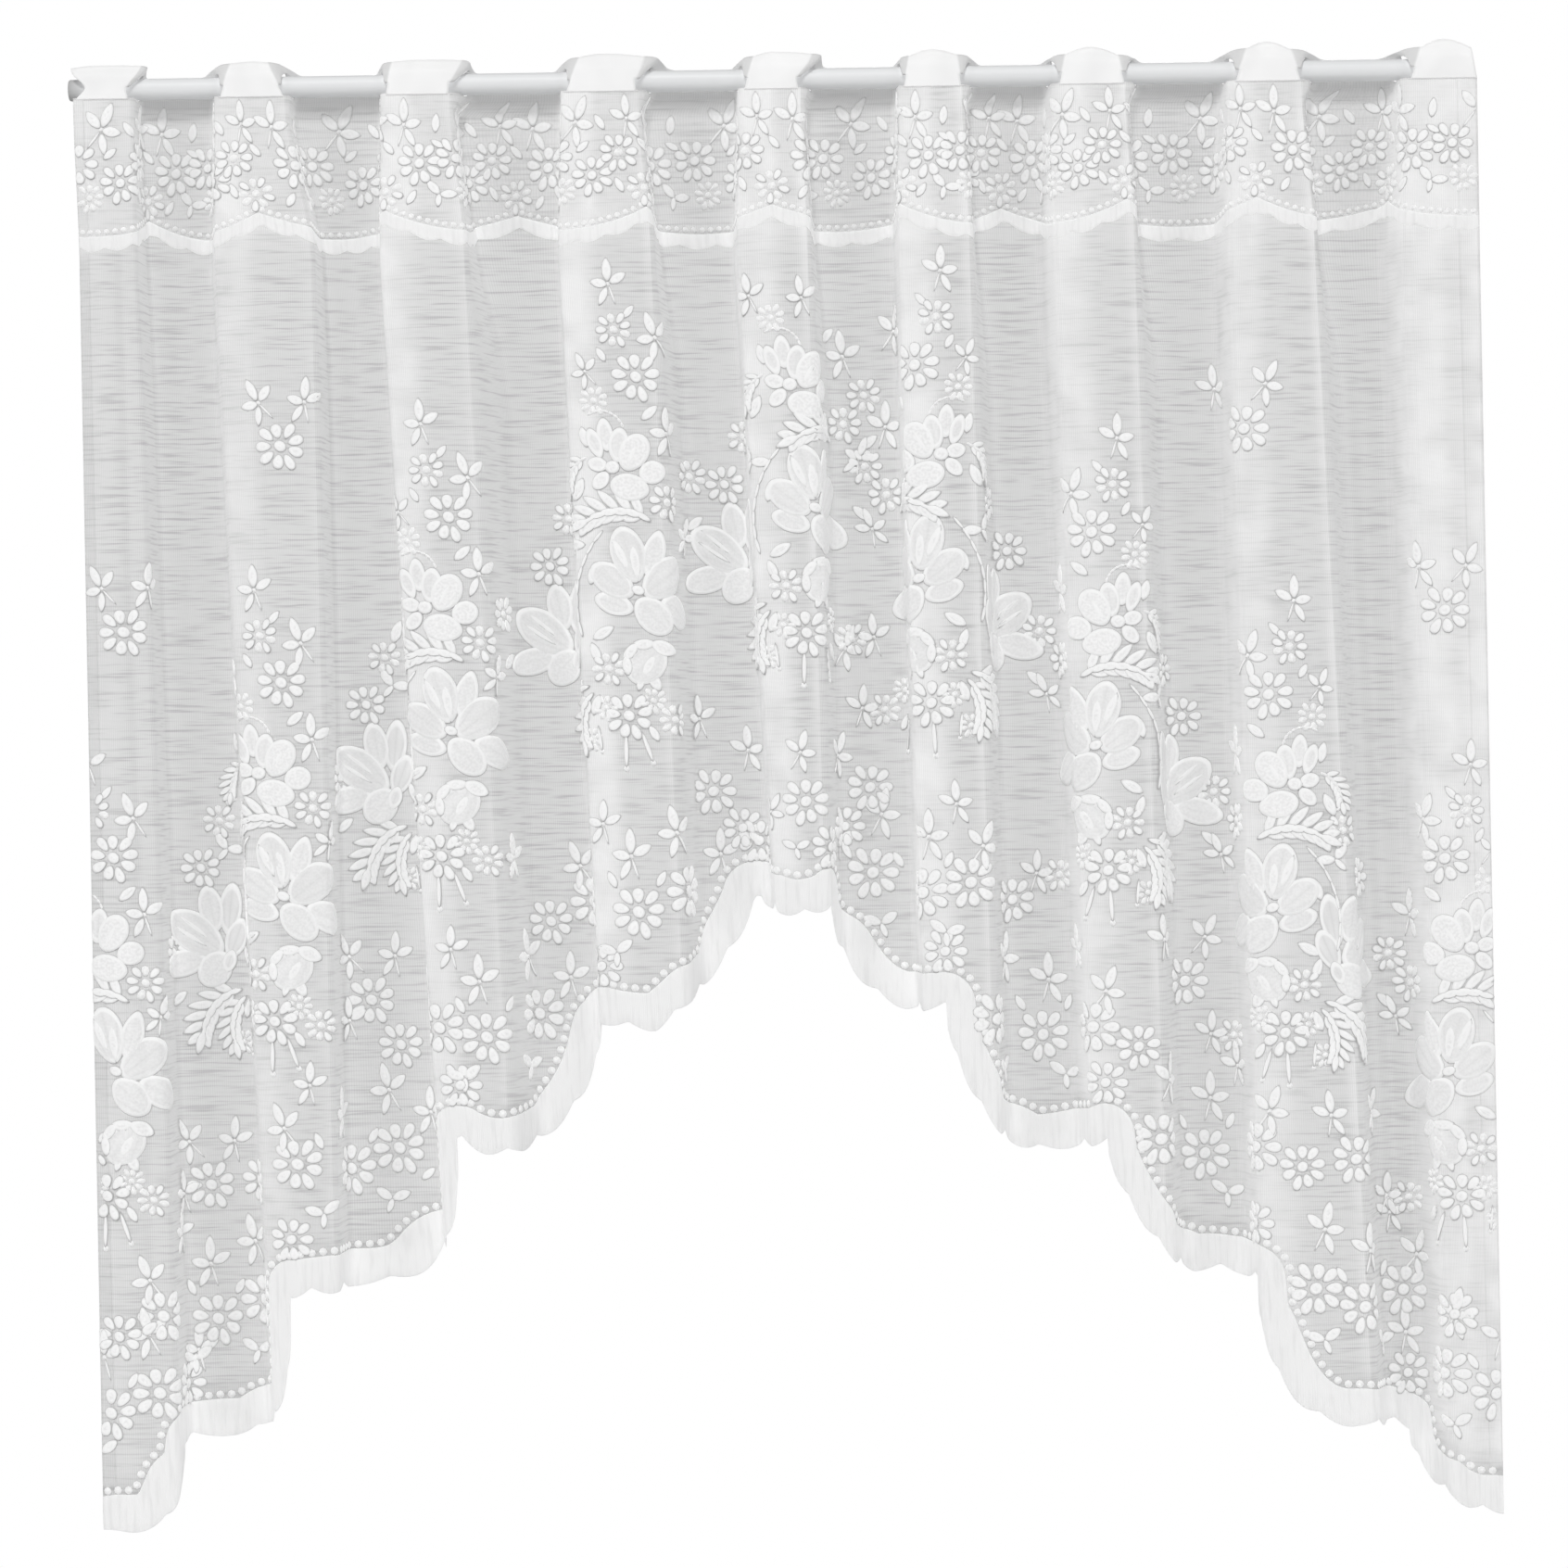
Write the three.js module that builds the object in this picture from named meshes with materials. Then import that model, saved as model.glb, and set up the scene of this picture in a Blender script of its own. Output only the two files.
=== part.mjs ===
// A lace valance with an arched, scalloped hem, threaded by slits in its heading onto a plain curtain rod.
// Millimetres, +Z up, the face of the cloth towards -Y. The origin is on the rod's axis at mid width.
import * as THREE from "three";

// The rod.
const ROD_RADIUS = 6.5;
const ROD_LEFT_END = -435;
const ROD_RIGHT_END = 428.5;
const ROD_EDGE_ROUND = 0.6;
const ROD_CURVE_STEPS = 32;

// The cloth where it hangs.
const LACE_THICKNESS = 1.2;
const LACE_TOP = -9.1;
const FOOT = -880;
const BAND_FOOT = -110;
const FACE_AT_ROD = -9.4;
const BACK_AT_ROD = 11;
const FACE_BELOW = -12;
const BACK_BELOW = 17;
const FACE_BULGE = 2;
const RECESS_BULGE = 2.5;
const FLAT_LEVEL = -300;

// The heading.
const HEADING_THICKNESS = 1.4;
const HEADING_BOTTOM = -8.8;
const HEADING_BACK_TOP = 7;
const HEADING_BACK_RIM = 5;
const SLIT_RADIUS = 8.6;
const SLIT_LIP = 0.6;
const CROSSING_STRIP = 1.2;
const EAR_STANDING = 0.5;
const EAR_LYING = 1;
const EAR_SPREAD = 0.6;
const TAB_TILT_FROM = 6;
const TAB_TILT = 4;

// How finely the cloth is divided.
const ARC_STEPS = 2;
const FACE_STEPS = 3;
const RECESS_STEPS = 2;
const LACE_ROWS = 12;
const HEADING_UPPER_ROWS = 2;
const HEADING_LOWER_ROWS = [0.15, 0.55, 1];
const HEM_STEP = 5.5;

// The border below the line of beads, and the small picots along its edge.
const BORDER_DROP = 22;
const PICOT_DEPTH = 5;
const PICOT_PITCH = 33;

// Each forward fold, left to right: the edges of its face at the heading (tab), under the header band (band)
// and level with the lowest hem (foot), how far it stands forward of the common face (stand), and the angle
// and corner radius of its two sides.
const FOLDS = [
  {
    tabLeft: -431, tabRight: -397, bandLeft: -429, bandRight: -396, footLeft: -426.5, footRight: -381,
    stand: -2, leftTurn: 0, leftRound: 0, rightTurn: 84, rightRound: 3.5,
  },
  {
    tabLeft: -341, tabRight: -302, bandLeft: -342, bandRight: -287, footLeft: -314, footRight: -281,
    stand: 0, leftTurn: 78, leftRound: 4, rightTurn: 84, rightRound: 3.5,
  },
  {
    tabLeft: -239.5, tabRight: -201, bandLeft: -241, bandRight: -193, footLeft: -202, footRight: -166,
    stand: 3, leftTurn: 86, leftRound: 3.5, rightTurn: 66, rightRound: 7,
  },
  {
    tabLeft: -129, tabRight: -86, bandLeft: -131, bandRight: -79, footLeft: -101, footRight: -58,
    stand: 1.5, leftTurn: 86, leftRound: 3.5, rightTurn: 72, rightRound: 6,
  },
  {
    tabLeft: -20, tabRight: 14, bandLeft: -22, bandRight: 17, footLeft: 12, footRight: 25,
    stand: 0.5, leftTurn: 84, leftRound: 3.5, rightTurn: 76, rightRound: 5,
  },
  {
    tabLeft: 78, tabRight: 113, bandLeft: 77, bandRight: 116, footLeft: 90, footRight: 126,
    stand: 1, leftTurn: 84, leftRound: 3.5, rightTurn: 76, rightRound: 5,
  },
  {
    tabLeft: 173, tabRight: 213, bandLeft: 173, bandRight: 217, footLeft: 194, footRight: 230,
    stand: 0, leftTurn: 76, leftRound: 5, rightTurn: 72, rightRound: 6,
  },
  {
    tabLeft: 281, tabRight: 321, bandLeft: 280, bandRight: 327, footLeft: 292, footRight: 353,
    stand: 1, leftTurn: 78, leftRound: 5, rightTurn: 72, rightRound: 6,
  },
  {
    tabLeft: 388.5, tabRight: 429, bandLeft: 387, bandRight: 429, footLeft: 405, footRight: 431.5,
    stand: -2, leftTurn: 72, leftRound: 6, rightTurn: 0, rightRound: 0,
  },
];

// The heading's tab over each fold: its height over the rod's axis (rise), how far its top corners drop
// (drop) and lean to the right (lean), and how far each side stands out as an ear over the rod (ear).
const TABS = [
  { rise: 14, leftDrop: 2.5, rightDrop: 0.5, leftLean: -3, rightLean: 6, leftEar: 0, rightEar: 0.6 },
  { rise: 15, leftDrop: 3, rightDrop: 4, leftLean: 6, rightLean: -5, leftEar: 1, rightEar: 0.6 },
  { rise: 14.5, leftDrop: 4.5, rightDrop: 0.5, leftLean: 3, rightLean: 5, leftEar: 0.8, rightEar: 0.2 },
  { rise: 16.5, leftDrop: 5, rightDrop: 1.5, leftLean: 5, rightLean: 3, leftEar: 0.8, rightEar: 1.4 },
  { rise: 16, leftDrop: 6, rightDrop: 0, leftLean: 4, rightLean: 4, leftEar: 0.6, rightEar: 1 },
  { rise: 16, leftDrop: 6, rightDrop: 3, leftLean: 2, rightLean: -2, leftEar: 0.2, rightEar: 0.6 },
  { rise: 16, leftDrop: 6, rightDrop: 6.5, leftLean: 3, rightLean: -3, leftEar: 0.2, rightEar: 0.2 },
  { rise: 17.5, leftDrop: 5, rightDrop: 7, leftLean: 4, rightLean: -4, leftEar: 0.5, rightEar: 0.5 },
  { rise: 17.5, leftDrop: 6, rightDrop: 6.5, leftLean: 3, rightLean: -5, leftEar: 0.2, rightEar: 0 },
];

// The line of beads over the border, left to right, as the cloth hangs: the points where its scallops meet,
// and each scallop's lowest place and how full it is (fullness) on its steep side, towards the arch's middle.
const CUSPS = [
  { x: -427, z: -862 },
  { x: -377, z: -807 },
  { x: -307.5, z: -716 },
  { x: -202.5, z: -623 },
  { x: -115.5, z: -552 },
  { x: -18, z: -477 },
  { x: 25.5, z: -481 },
  { x: 95, z: -546 },
  { x: 192, z: -628 },
  { x: 284, z: -716 },
  { x: 379, z: -813 },
  { x: 431, z: -860 },
];
const LOWS = [
  { x: -412, z: -858, fullness: 3.2 },
  { x: -350, z: -805, fullness: 2.6 },
  { x: -266, z: -713, fullness: 2.6 },
  { x: -178, z: -631, fullness: 1.8 },
  { x: -84, z: -556, fullness: 1.25 },
  { x: 5, z: -488, fullness: 1.6 },
  { x: 74, z: -547, fullness: 1.8 },
  { x: 148, z: -637, fullness: 1.55 },
  { x: 247, z: -712, fullness: 1.4 },
  { x: 340, z: -804.5, fullness: 2.2 },
  { x: 420, z: -859, fullness: 1.7 },
];
const MIDDLE_SCALLOP = 5;

const LACE_MATERIAL = new THREE.MeshStandardMaterial({ color: 0xe6e6e4, roughness: 0.95, metalness: 0 });
const HEADING_MATERIAL = new THREE.MeshStandardMaterial({ color: 0xf2f2f0, roughness: 0.9, metalness: 0 });
const ROD_MATERIAL = new THREE.MeshStandardMaterial({ color: 0xdcdddd, roughness: 0.45, metalness: 0.1 });

function blend(from, to, share) {
  return from + (to - from) * share;
}

function ease(share) {
  const held = Math.min(1, Math.max(0, share));
  return held * held * (3 - 2 * held);
}

// An edge of a fold's face at a height, from its places at the heading, under the band and at the foot.
function edgeAt(tab, band, foot, z) {
  if (z > BAND_FOOT) {
    return blend(tab, band, ease((LACE_TOP - z) / (LACE_TOP - BAND_FOOT)));
  }
  return blend(band, foot, (BAND_FOOT - z) / (BAND_FOOT - FOOT));
}

// One side of a fold, from the edge of its face to the recess beside it: how far along the rod, how far back
// and how much cloth at each column. Its second half is its first half turned round.
function sideOf(depth, turnDegrees, round) {
  const turn = THREE.MathUtils.degToRad(turnDegrees);
  const straight = (depth - 2 * round * (1 - Math.cos(turn))) / Math.sin(turn);
  const points = [];
  for (let i = 0; i <= ARC_STEPS; i++) {
    const angle = (turn * i) / ARC_STEPS;
    const back = round * (1 - Math.cos(angle));
    points.push({ along: round * Math.sin(angle), back, cloth: round * angle });
  }
  const corner = points[ARC_STEPS];
  const middle = {
    along: corner.along + (straight * Math.cos(turn)) / 2,
    back: corner.back + (straight * Math.sin(turn)) / 2,
    cloth: corner.cloth + straight / 2,
  };
  points.push(middle);
  for (let i = ARC_STEPS; i >= 0; i--) {
    points.push({
      along: 2 * middle.along - points[i].along,
      back: 2 * middle.back - points[i].back,
      cloth: 2 * middle.cloth - points[i].cloth,
    });
  }
  return points;
}

// The cloth at one height as columns from its left edge to its right edge: the place of each, the length of
// cloth up to it, the fold it belongs to, how far it is towards that fold's face (1) or the recess (0), and
// whether it is on a side of the fold.
function sectionAt(z) {
  const settled = ease((LACE_TOP - z) / (LACE_TOP - BAND_FOOT));
  const backY = blend(BACK_AT_ROD, BACK_BELOW, settled);
  const columns = [];
  let cloth = 0;
  FOLDS.forEach((fold, i) => {
    const left = edgeAt(fold.tabLeft, fold.bandLeft, fold.footLeft, z);
    const right = edgeAt(fold.tabRight, fold.bandRight, fold.footRight, z);
    const faceY = blend(FACE_AT_ROD, FACE_BELOW - fold.stand, settled);
    const depth = backY - faceY;
    if (i > 0) {
      const side = sideOf(depth, fold.leftTurn, fold.leftRound).reverse();
      const from = columns[columns.length - 1].x;
      const gap = left - side[0].along - from;
      for (let k = 1; k <= RECESS_STEPS; k++) {
        const share = k / RECESS_STEPS;
        const y = backY + RECESS_BULGE * settled * Math.sin(Math.PI * share) ** 2;
        cloth += gap / RECESS_STEPS;
        columns.push({ x: from + gap * share, y, cloth, fold: i, front: 0, onSide: k === RECESS_STEPS });
      }
      for (let k = 1; k < side.length; k++) {
        cloth += side[k - 1].cloth - side[k].cloth;
        const { along, back } = side[k];
        const front = 1 - back / depth;
        columns.push({ x: left - along, y: faceY + back, cloth, fold: i, front, onSide: true });
      }
    } else {
      columns.push({ x: left, y: faceY, cloth, fold: i, front: 1, onSide: false });
    }
    for (let k = 1; k <= FACE_STEPS; k++) {
      const share = k / FACE_STEPS;
      const y = faceY - FACE_BULGE * settled * Math.sin(Math.PI * share) ** 2;
      cloth += (right - left) / FACE_STEPS;
      columns.push({ x: blend(left, right, share), y, cloth, fold: i, front: 1, onSide: false });
    }
    if (i < FOLDS.length - 1) {
      const side = sideOf(depth, fold.rightTurn, fold.rightRound);
      for (let k = 1; k < side.length; k++) {
        cloth += side[k].cloth - side[k - 1].cloth;
        const { along, back } = side[k];
        const front = 1 - back / depth;
        columns.push({ x: right + along, y: faceY + back, cloth, fold: i, front, onSide: true });
      }
    }
  });
  return columns;
}

// The direction out of the cloth's face at each column of a section.
function facingOf(columns) {
  return columns.map((column, j) => {
    const before = columns[Math.max(0, j - 1)];
    const after = columns[Math.min(columns.length - 1, j + 1)];
    return new THREE.Vector3(after.y - before.y, before.x - after.x, 0).normalize();
  });
}

// The length of cloth up to each column where the cloth is measured flat.
const FLAT = sectionAt(FLAT_LEVEL).map((column) => column.cloth);

// The flat place of a point that hangs at x and z.
function flatPlace(x, z) {
  const columns = sectionAt(z);
  const last = columns.length - 2;
  let j = 0;
  while (j < last && columns[j + 1].x < x) {
    j++;
  }
  return blend(FLAT[j], FLAT[j + 1], (x - columns[j].x) / (columns[j + 1].x - columns[j].x));
}

// The point of the cloth at a flat place and a height, and the direction out of its face there.
function hungPoint(flat, z) {
  const columns = sectionAt(z);
  const facing = facingOf(columns);
  const last = columns.length - 2;
  let j = 0;
  while (j < last && FLAT[j + 1] < flat) {
    j++;
  }
  const share = (flat - FLAT[j]) / (FLAT[j + 1] - FLAT[j]);
  return {
    at: new THREE.Vector3(
      blend(columns[j].x, columns[j + 1].x, share),
      blend(columns[j].y, columns[j + 1].y, share),
      z,
    ),
    out: facing[j].clone().lerp(facing[j + 1], share).normalize(),
  };
}

// The flat places where the scallops meet.
const CUSP_PLACES = CUSPS.map(({ x, z }) => flatPlace(x, z));

// The height of the line of beads at a flat place: in each scallop a steep, full side towards the middle of
// the arch and a shallow one away from it.
function beadLine(flat) {
  const last = LOWS.length - 1;
  let i = 0;
  while (i < last && CUSP_PLACES[i + 1] < flat) {
    i++;
  }
  const low = LOWS[i];
  const { x } = hungPoint(flat, low.z).at;
  const onLeft = x < low.x;
  const end = CUSPS[onLeft ? i : i + 1];
  const share = Math.min(1, Math.abs((x - low.x) / (end.x - low.x)));
  const steep = i === MIDDLE_SCALLOP || i < MIDDLE_SCALLOP !== onLeft;
  const climb = steep ? 1 - (1 - share ** low.fullness) ** (1 / low.fullness) : share * share;
  return blend(low.z, end.z, climb);
}

// The edge of the hem as flat places and heights: the bead line dropped by the border, with its picots.
function hemEdge() {
  const width = FLAT[FLAT.length - 1];
  const edge = [];
  let along = 0;
  let flat = 0;
  while (flat < width) {
    const slope = beadLine(flat + 0.5) - beadLine(flat - 0.5);
    const picot = PICOT_DEPTH * Math.abs(Math.sin((Math.PI * along) / PICOT_PITCH));
    edge.push({ flat, z: beadLine(flat) - BORDER_DROP - picot });
    along += HEM_STEP;
    flat += HEM_STEP / Math.hypot(1, slope);
  }
  const end = edge.pop();
  edge.push({ flat: width, z: end.z });
  return edge;
}

// A closed sheet from the points down its middle, the direction out of its face at each, and the triangles
// between them, wound the right way round when its face is seen.
function sheetGeometry(points, triangles, thickness) {
  const count = points.length;
  const places = [];
  [thickness / 2, -thickness / 2].forEach((lift) => {
    points.forEach(({ at, out }) => {
      places.push(at.x + out.x * lift, at.y + out.y * lift, at.z + out.z * lift);
    });
  });
  const used = new Set();
  triangles.forEach(([a, b, c]) => {
    used.add(a * count + b).add(b * count + c).add(c * count + a);
  });
  const index = [];
  triangles.forEach(([a, b, c]) => {
    index.push(a, b, c, count + a, count + c, count + b);
    [[a, b], [b, c], [c, a]].forEach(([from, to]) => {
      if (!used.has(to * count + from)) {
        index.push(to, from, count + from, to, count + from, count + to);
      }
    });
  });
  const geometry = new THREE.BufferGeometry();
  geometry.setAttribute("position", new THREE.Float32BufferAttribute(places, 3));
  geometry.setIndex(index);
  geometry.computeVertexNormals();
  return geometry;
}

// The triangles of a grid of points kept row by row from the top.
function gridTriangles(rows, columns) {
  const triangles = [];
  for (let i = 0; i < rows - 1; i++) {
    for (let j = 0; j < columns - 1; j++) {
      const above = i * columns + j;
      const below = above + columns;
      triangles.push([above, below, below + 1], [above, below + 1, above + 1]);
    }
  }
  return triangles;
}

// The lace: rows of columns from its top down to the line of beads, then the border down to the hem's edge.
function lacePanel() {
  const columns = FLAT.length;
  const points = [];
  for (let i = 0; i <= LACE_ROWS; i++) {
    FLAT.forEach((flat) => {
      points.push(hungPoint(flat, blend(LACE_TOP, beadLine(flat), i / LACE_ROWS)));
    });
  }
  const triangles = gridTriangles(LACE_ROWS + 1, columns);
  const edge = hemEdge();
  const above = LACE_ROWS * columns;
  const below = points.length;
  edge.forEach(({ flat, z }) => points.push(hungPoint(flat, z)));
  let j = 0;
  let k = 0;
  while (j < columns - 1 || k < edge.length - 1) {
    const moveAbove = k === edge.length - 1 || (j < columns - 1 && FLAT[j + 1] <= edge[k + 1].flat);
    if (moveAbove) {
      triangles.push([above + j, below + k, above + j + 1]);
      j++;
    } else {
      triangles.push([above + j, below + k, below + k + 1]);
      k++;
    }
  }
  return sheetGeometry(points, triangles, LACE_THICKNESS);
}

// The height over the rod's axis of the slits' upper rim, where the heading goes across at y.
function slitRim(y, front) {
  const rim = Math.sqrt(Math.max(0, SLIT_RADIUS ** 2 - y ** 2));
  return front < 0.5 ? Math.max(rim, HEADING_BACK_RIM) : rim;
}

// A point of the heading over the slits' rim, at a share of the way down from its top edge.
function upperPoint({ x, y, fold, front, onSide }, out, share) {
  const { tabLeft, tabRight } = FOLDS[fold];
  const { rise, leftDrop, rightDrop, leftLean, rightLean, leftEar, rightEar } = TABS[fold];
  const middle = (tabLeft + tabRight) / 2;
  const onLeft = x < middle;
  const edge = onLeft ? tabLeft : tabRight;
  const ear = onLeft ? leftEar : rightEar;
  const reach = Math.min(1, Math.abs((x - middle) / (edge - middle)));
  const shoulder = rise - (onLeft ? leftDrop : rightDrop) * reach ** 2;
  const rim = slitRim(y, front);
  const over = blend(HEADING_BACK_TOP, shoulder, front ** blend(EAR_LYING, EAR_STANDING, ear));
  const z = blend(Math.max(over, rim + CROSSING_STRIP), rim, share);
  const lean = (onLeft ? leftLean : rightLean) * reach * front * Math.max(0, z / rise);
  const standOut = onSide ? (x - edge) * EAR_SPREAD * ear * (1 - share) : 0;
  const tilt = TAB_TILT * front * ease((z - TAB_TILT_FROM) / (rise - TAB_TILT_FROM));
  return { at: new THREE.Vector3(x + lean + standOut, y + tilt, z), out };
}

// A point of the heading beside the rod, at a share of the way down from the slits' rim to its bottom edge.
// Behind the rod it starts next to the slit's front lip.
function lowerPoint({ x, y, fold, front, onSide }, share) {
  const { tabLeft, tabRight } = FOLDS[fold];
  const edge = x < (tabLeft + tabRight) / 2 ? tabLeft : tabRight;
  const behind = onSide && front < 0.51;
  const beside = edge + Math.sign(x - edge) * SLIT_LIP + (x - edge) * (1 - 2 * front);
  const from = front < 0.51 ? HEADING_BACK_RIM : 0;
  return {
    at: new THREE.Vector3(behind ? beside : x, behind ? BACK_AT_ROD : y, blend(from, HEADING_BOTTOM, share)),
    out: new THREE.Vector3(0, -1, 0),
  };
}

// The heading: in front of the rod at each tab and behind it between them. At the slits only its upper part
// goes across, over the rod.
function headingStrip() {
  const base = sectionAt(LACE_TOP);
  const facing = facingOf(base);
  const columns = base.length;
  const points = [];
  for (let i = 0; i <= HEADING_UPPER_ROWS; i++) {
    base.forEach((column, j) => points.push(upperPoint(column, facing[j], i / HEADING_UPPER_ROWS)));
  }
  HEADING_LOWER_ROWS.forEach((share) => {
    base.forEach((column) => points.push(lowerPoint(column, share)));
  });
  const rows = points.length / columns;
  const open = base.map(({ front }, j) => {
    const least = Math.min(front, base[Math.min(j + 1, columns - 1)].front);
    return least > 0.49 && least < 1;
  });
  const triangles = gridTriangles(rows, columns).filter(([corner, , other]) => {
    const left = Math.min(corner % columns, other % columns);
    return corner < HEADING_UPPER_ROWS * columns || !open[left];
  });
  return sheetGeometry(points, triangles, HEADING_THICKNESS);
}

// The rod, along X, with its edges slightly rounded.
function rodGeometry() {
  const round = new THREE.Shape();
  round.absarc(0, 0, ROD_RADIUS - ROD_EDGE_ROUND, 0, 2 * Math.PI);
  const length = ROD_RIGHT_END - ROD_LEFT_END - 2 * ROD_EDGE_ROUND;
  const geometry = new THREE.ExtrudeGeometry(round, {
    depth: length,
    curveSegments: ROD_CURVE_STEPS,
    bevelSize: ROD_EDGE_ROUND,
    bevelThickness: ROD_EDGE_ROUND,
    bevelSegments: 1,
  });
  geometry.rotateY(Math.PI / 2);
  geometry.translate(ROD_LEFT_END + ROD_EDGE_ROUND, 0, 0);
  return geometry;
}

const valance = new THREE.Group();
valance.name = "lace_valance";

const rod = new THREE.Mesh(rodGeometry(), ROD_MATERIAL);
rod.name = "rod";
valance.add(rod);

const heading = new THREE.Mesh(headingStrip(), HEADING_MATERIAL);
heading.name = "heading";
valance.add(heading);

const lace = new THREE.Mesh(lacePanel(), LACE_MATERIAL);
lace.name = "lace_panel";
valance.add(lace);

export default valance;
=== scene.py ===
import math
from collections import namedtuple

import bpy
import numpy as np
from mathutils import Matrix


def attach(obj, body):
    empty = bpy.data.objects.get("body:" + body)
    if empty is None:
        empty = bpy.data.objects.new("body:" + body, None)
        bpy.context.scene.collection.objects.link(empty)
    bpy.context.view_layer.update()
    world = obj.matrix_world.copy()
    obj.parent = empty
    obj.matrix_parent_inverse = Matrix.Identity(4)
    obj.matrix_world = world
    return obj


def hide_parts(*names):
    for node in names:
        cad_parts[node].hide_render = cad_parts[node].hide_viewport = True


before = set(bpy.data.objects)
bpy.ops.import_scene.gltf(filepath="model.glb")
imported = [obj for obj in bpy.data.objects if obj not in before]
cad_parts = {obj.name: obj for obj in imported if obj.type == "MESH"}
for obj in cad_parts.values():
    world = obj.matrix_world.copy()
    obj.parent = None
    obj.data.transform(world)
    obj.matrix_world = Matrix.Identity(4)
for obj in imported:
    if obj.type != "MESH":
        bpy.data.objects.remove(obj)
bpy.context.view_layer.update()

# A white floral lace valance with an arched, scalloped hem, threaded onto a plain curtain rod by the slits
# in its heading. The tables are in millimetres and every piece is made in metres. +X is to the right along
# the rod, the face of the cloth is towards -Y, and +Z is up.
MM = 0.001

# The rod.
ROD_RADIUS = 6.5
ROD_LEFT_END = -435
ROD_RIGHT_END = 428.5

# The cloth where it hangs.
LACE_TOP = -9.1
FOOT = -880
BAND_FOOT = -110
FACE_AT_ROD = -9.4
BACK_AT_ROD = 11
FACE_BELOW = -12
BACK_BELOW = 17
FACE_BULGE = 2
RECESS_BULGE = 2.5
FLAT_LEVEL = -300
BAND_LEVEL = -50
LOWEST = -900
SHOULDER_DEPTH = 3.5
SHOULDER_WIDTH = 22
# The painted highlight along the folds' edges: how wide and soft it is on the left, and how wide on the
# right.
LEFT_HIGHLIGHT_WIDTH = 17
LEFT_HIGHLIGHT_SOFTNESS = 0.3
RIGHT_HIGHLIGHT_WIDTH = 4

# In the header band each fold's right side is upright and sharp, and further down it is as its row says.
UPRIGHT_FROM = -17
UPRIGHT_TO = -80
LOOSE_FROM = -200
UPRIGHT_TURN = 86
UPRIGHT_ROUND = 2.5

# Each forward fold, left to right: the edges of its face at the heading (tab), under the header band (band)
# and level with the lowest hem (foot), how far it stands forward of the common face (stand), the angle and
# corner radius of its two sides, and how strong the painted highlight is along its two edges (highlight), to
# a common width on the left and as far as the last column says on the right.
Fold = namedtuple(
    "Fold",
    "tab_left tab_right band_left band_right foot_left foot_right stand"
    " left_turn left_round right_turn right_round left_dense right_dense right_reach",
    defaults=(RIGHT_HIGHLIGHT_WIDTH,),
)
FOLDS = [
    Fold(-431, -397, -429, -396, -426.5, -381, -2, 0, 0, 84, 3.5, 0.3, 0),
    Fold(-341, -302, -342, -287, -314, -281, 0, 78, 4, 84, 3.5, 0.6, 0.2),
    Fold(-239.5, -201, -241, -193, -202, -166, 3, 86, 3.5, 66, 7, 0.9, 0.3),
    Fold(-129, -86, -131, -79, -101, -58, 1.5, 86, 3.5, 72, 6, 1, 0.4),
    Fold(-20, 14, -22, 17, 12, 25, 0.5, 84, 3.5, 76, 5, 1, 0.6),
    Fold(78, 113, 77, 116, 90, 126, 1, 84, 3.5, 76, 5, 1, 0.5),
    Fold(173, 213, 173, 217, 194, 230, 0, 76, 5, 72, 6, 0.8, 0.5),
    Fold(281, 321, 280, 327, 292, 353, 1, 78, 5, 72, 6, 0.75, 0.6),
    Fold(388.5, 429, 387, 429, 405, 431.5, -2, 72, 6, 0, 0, 0.8, 1, 26),
]

# The heading's tab over each fold: its height over the rod's axis (rise), how far its top corners drop and
# lean to the right, how far its sides are drawn in to the right beside the rod (waist), and how far each
# side stands out as an ear over the rod.
Tab = namedtuple(
    "Tab", "rise left_drop right_drop left_lean right_lean left_waist right_waist left_ear right_ear"
)
TABS = [
    Tab(14, 1.5, 0.5, -2, 7, 8, -4, 0, 0.6),
    Tab(15, 1, 0.5, 7, -11, 0, 0, 1, 0.8),
    Tab(14.5, 1, 0.5, 4.5, 7.5, 0, -2, 0.8, 0.2),
    Tab(16.5, 2, 2, 9.5, 4.5, 0, -2, 0.9, 1.2),
    Tab(16, 2.5, 1.5, 7.5, 7.5, 0, -4, 0.7, 1),
    Tab(16, 4, 3.5, 4.5, -3.5, 0, 0, 0.2, 0.6),
    Tab(16, 4.5, 5.5, 6, -5.5, 0, 0, 0.4, 0.3),
    Tab(17.5, 4, 5, 9.5, -8, 0, 0, 0.8, 0.8),
    Tab(17.5, 5, 6, 9, -4, 0, 0, 0.8, 0),
]

# The hem's scallops, left to right, as the cloth hangs: the points where they meet, and each one's lowest
# place and how full it is on its steep side, towards the arch's middle.
Cusp = namedtuple("Cusp", "x z")
CUSPS = [
    Cusp(-427, -862), Cusp(-377, -807), Cusp(-307.5, -716), Cusp(-202.5, -623), Cusp(-115.5, -552),
    Cusp(-18, -477), Cusp(25.5, -481), Cusp(95, -546), Cusp(192, -628), Cusp(284, -716), Cusp(379, -813),
    Cusp(431, -860),
]
Low = namedtuple("Low", "x z fullness")
LOWS = [
    Low(-412, -858, 3.2), Low(-350, -805, 2.6), Low(-266, -713, 2.6), Low(-178, -631, 1.8),
    Low(-84, -556, 1.25), Low(5, -488, 1.6), Low(74, -547, 1.8), Low(148, -637, 1.55),
    Low(247, -712, 1.4), Low(340, -804.5, 2.2), Low(420, -859, 1.7),
]
MIDDLE_SCALLOP = 5
SCALLOP_DROP = 22
PICOT_DEPTH = 5
PICOT_PITCH = 33
BORDER_WIDTH = 21
BEAD_GAP = 2.6

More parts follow.
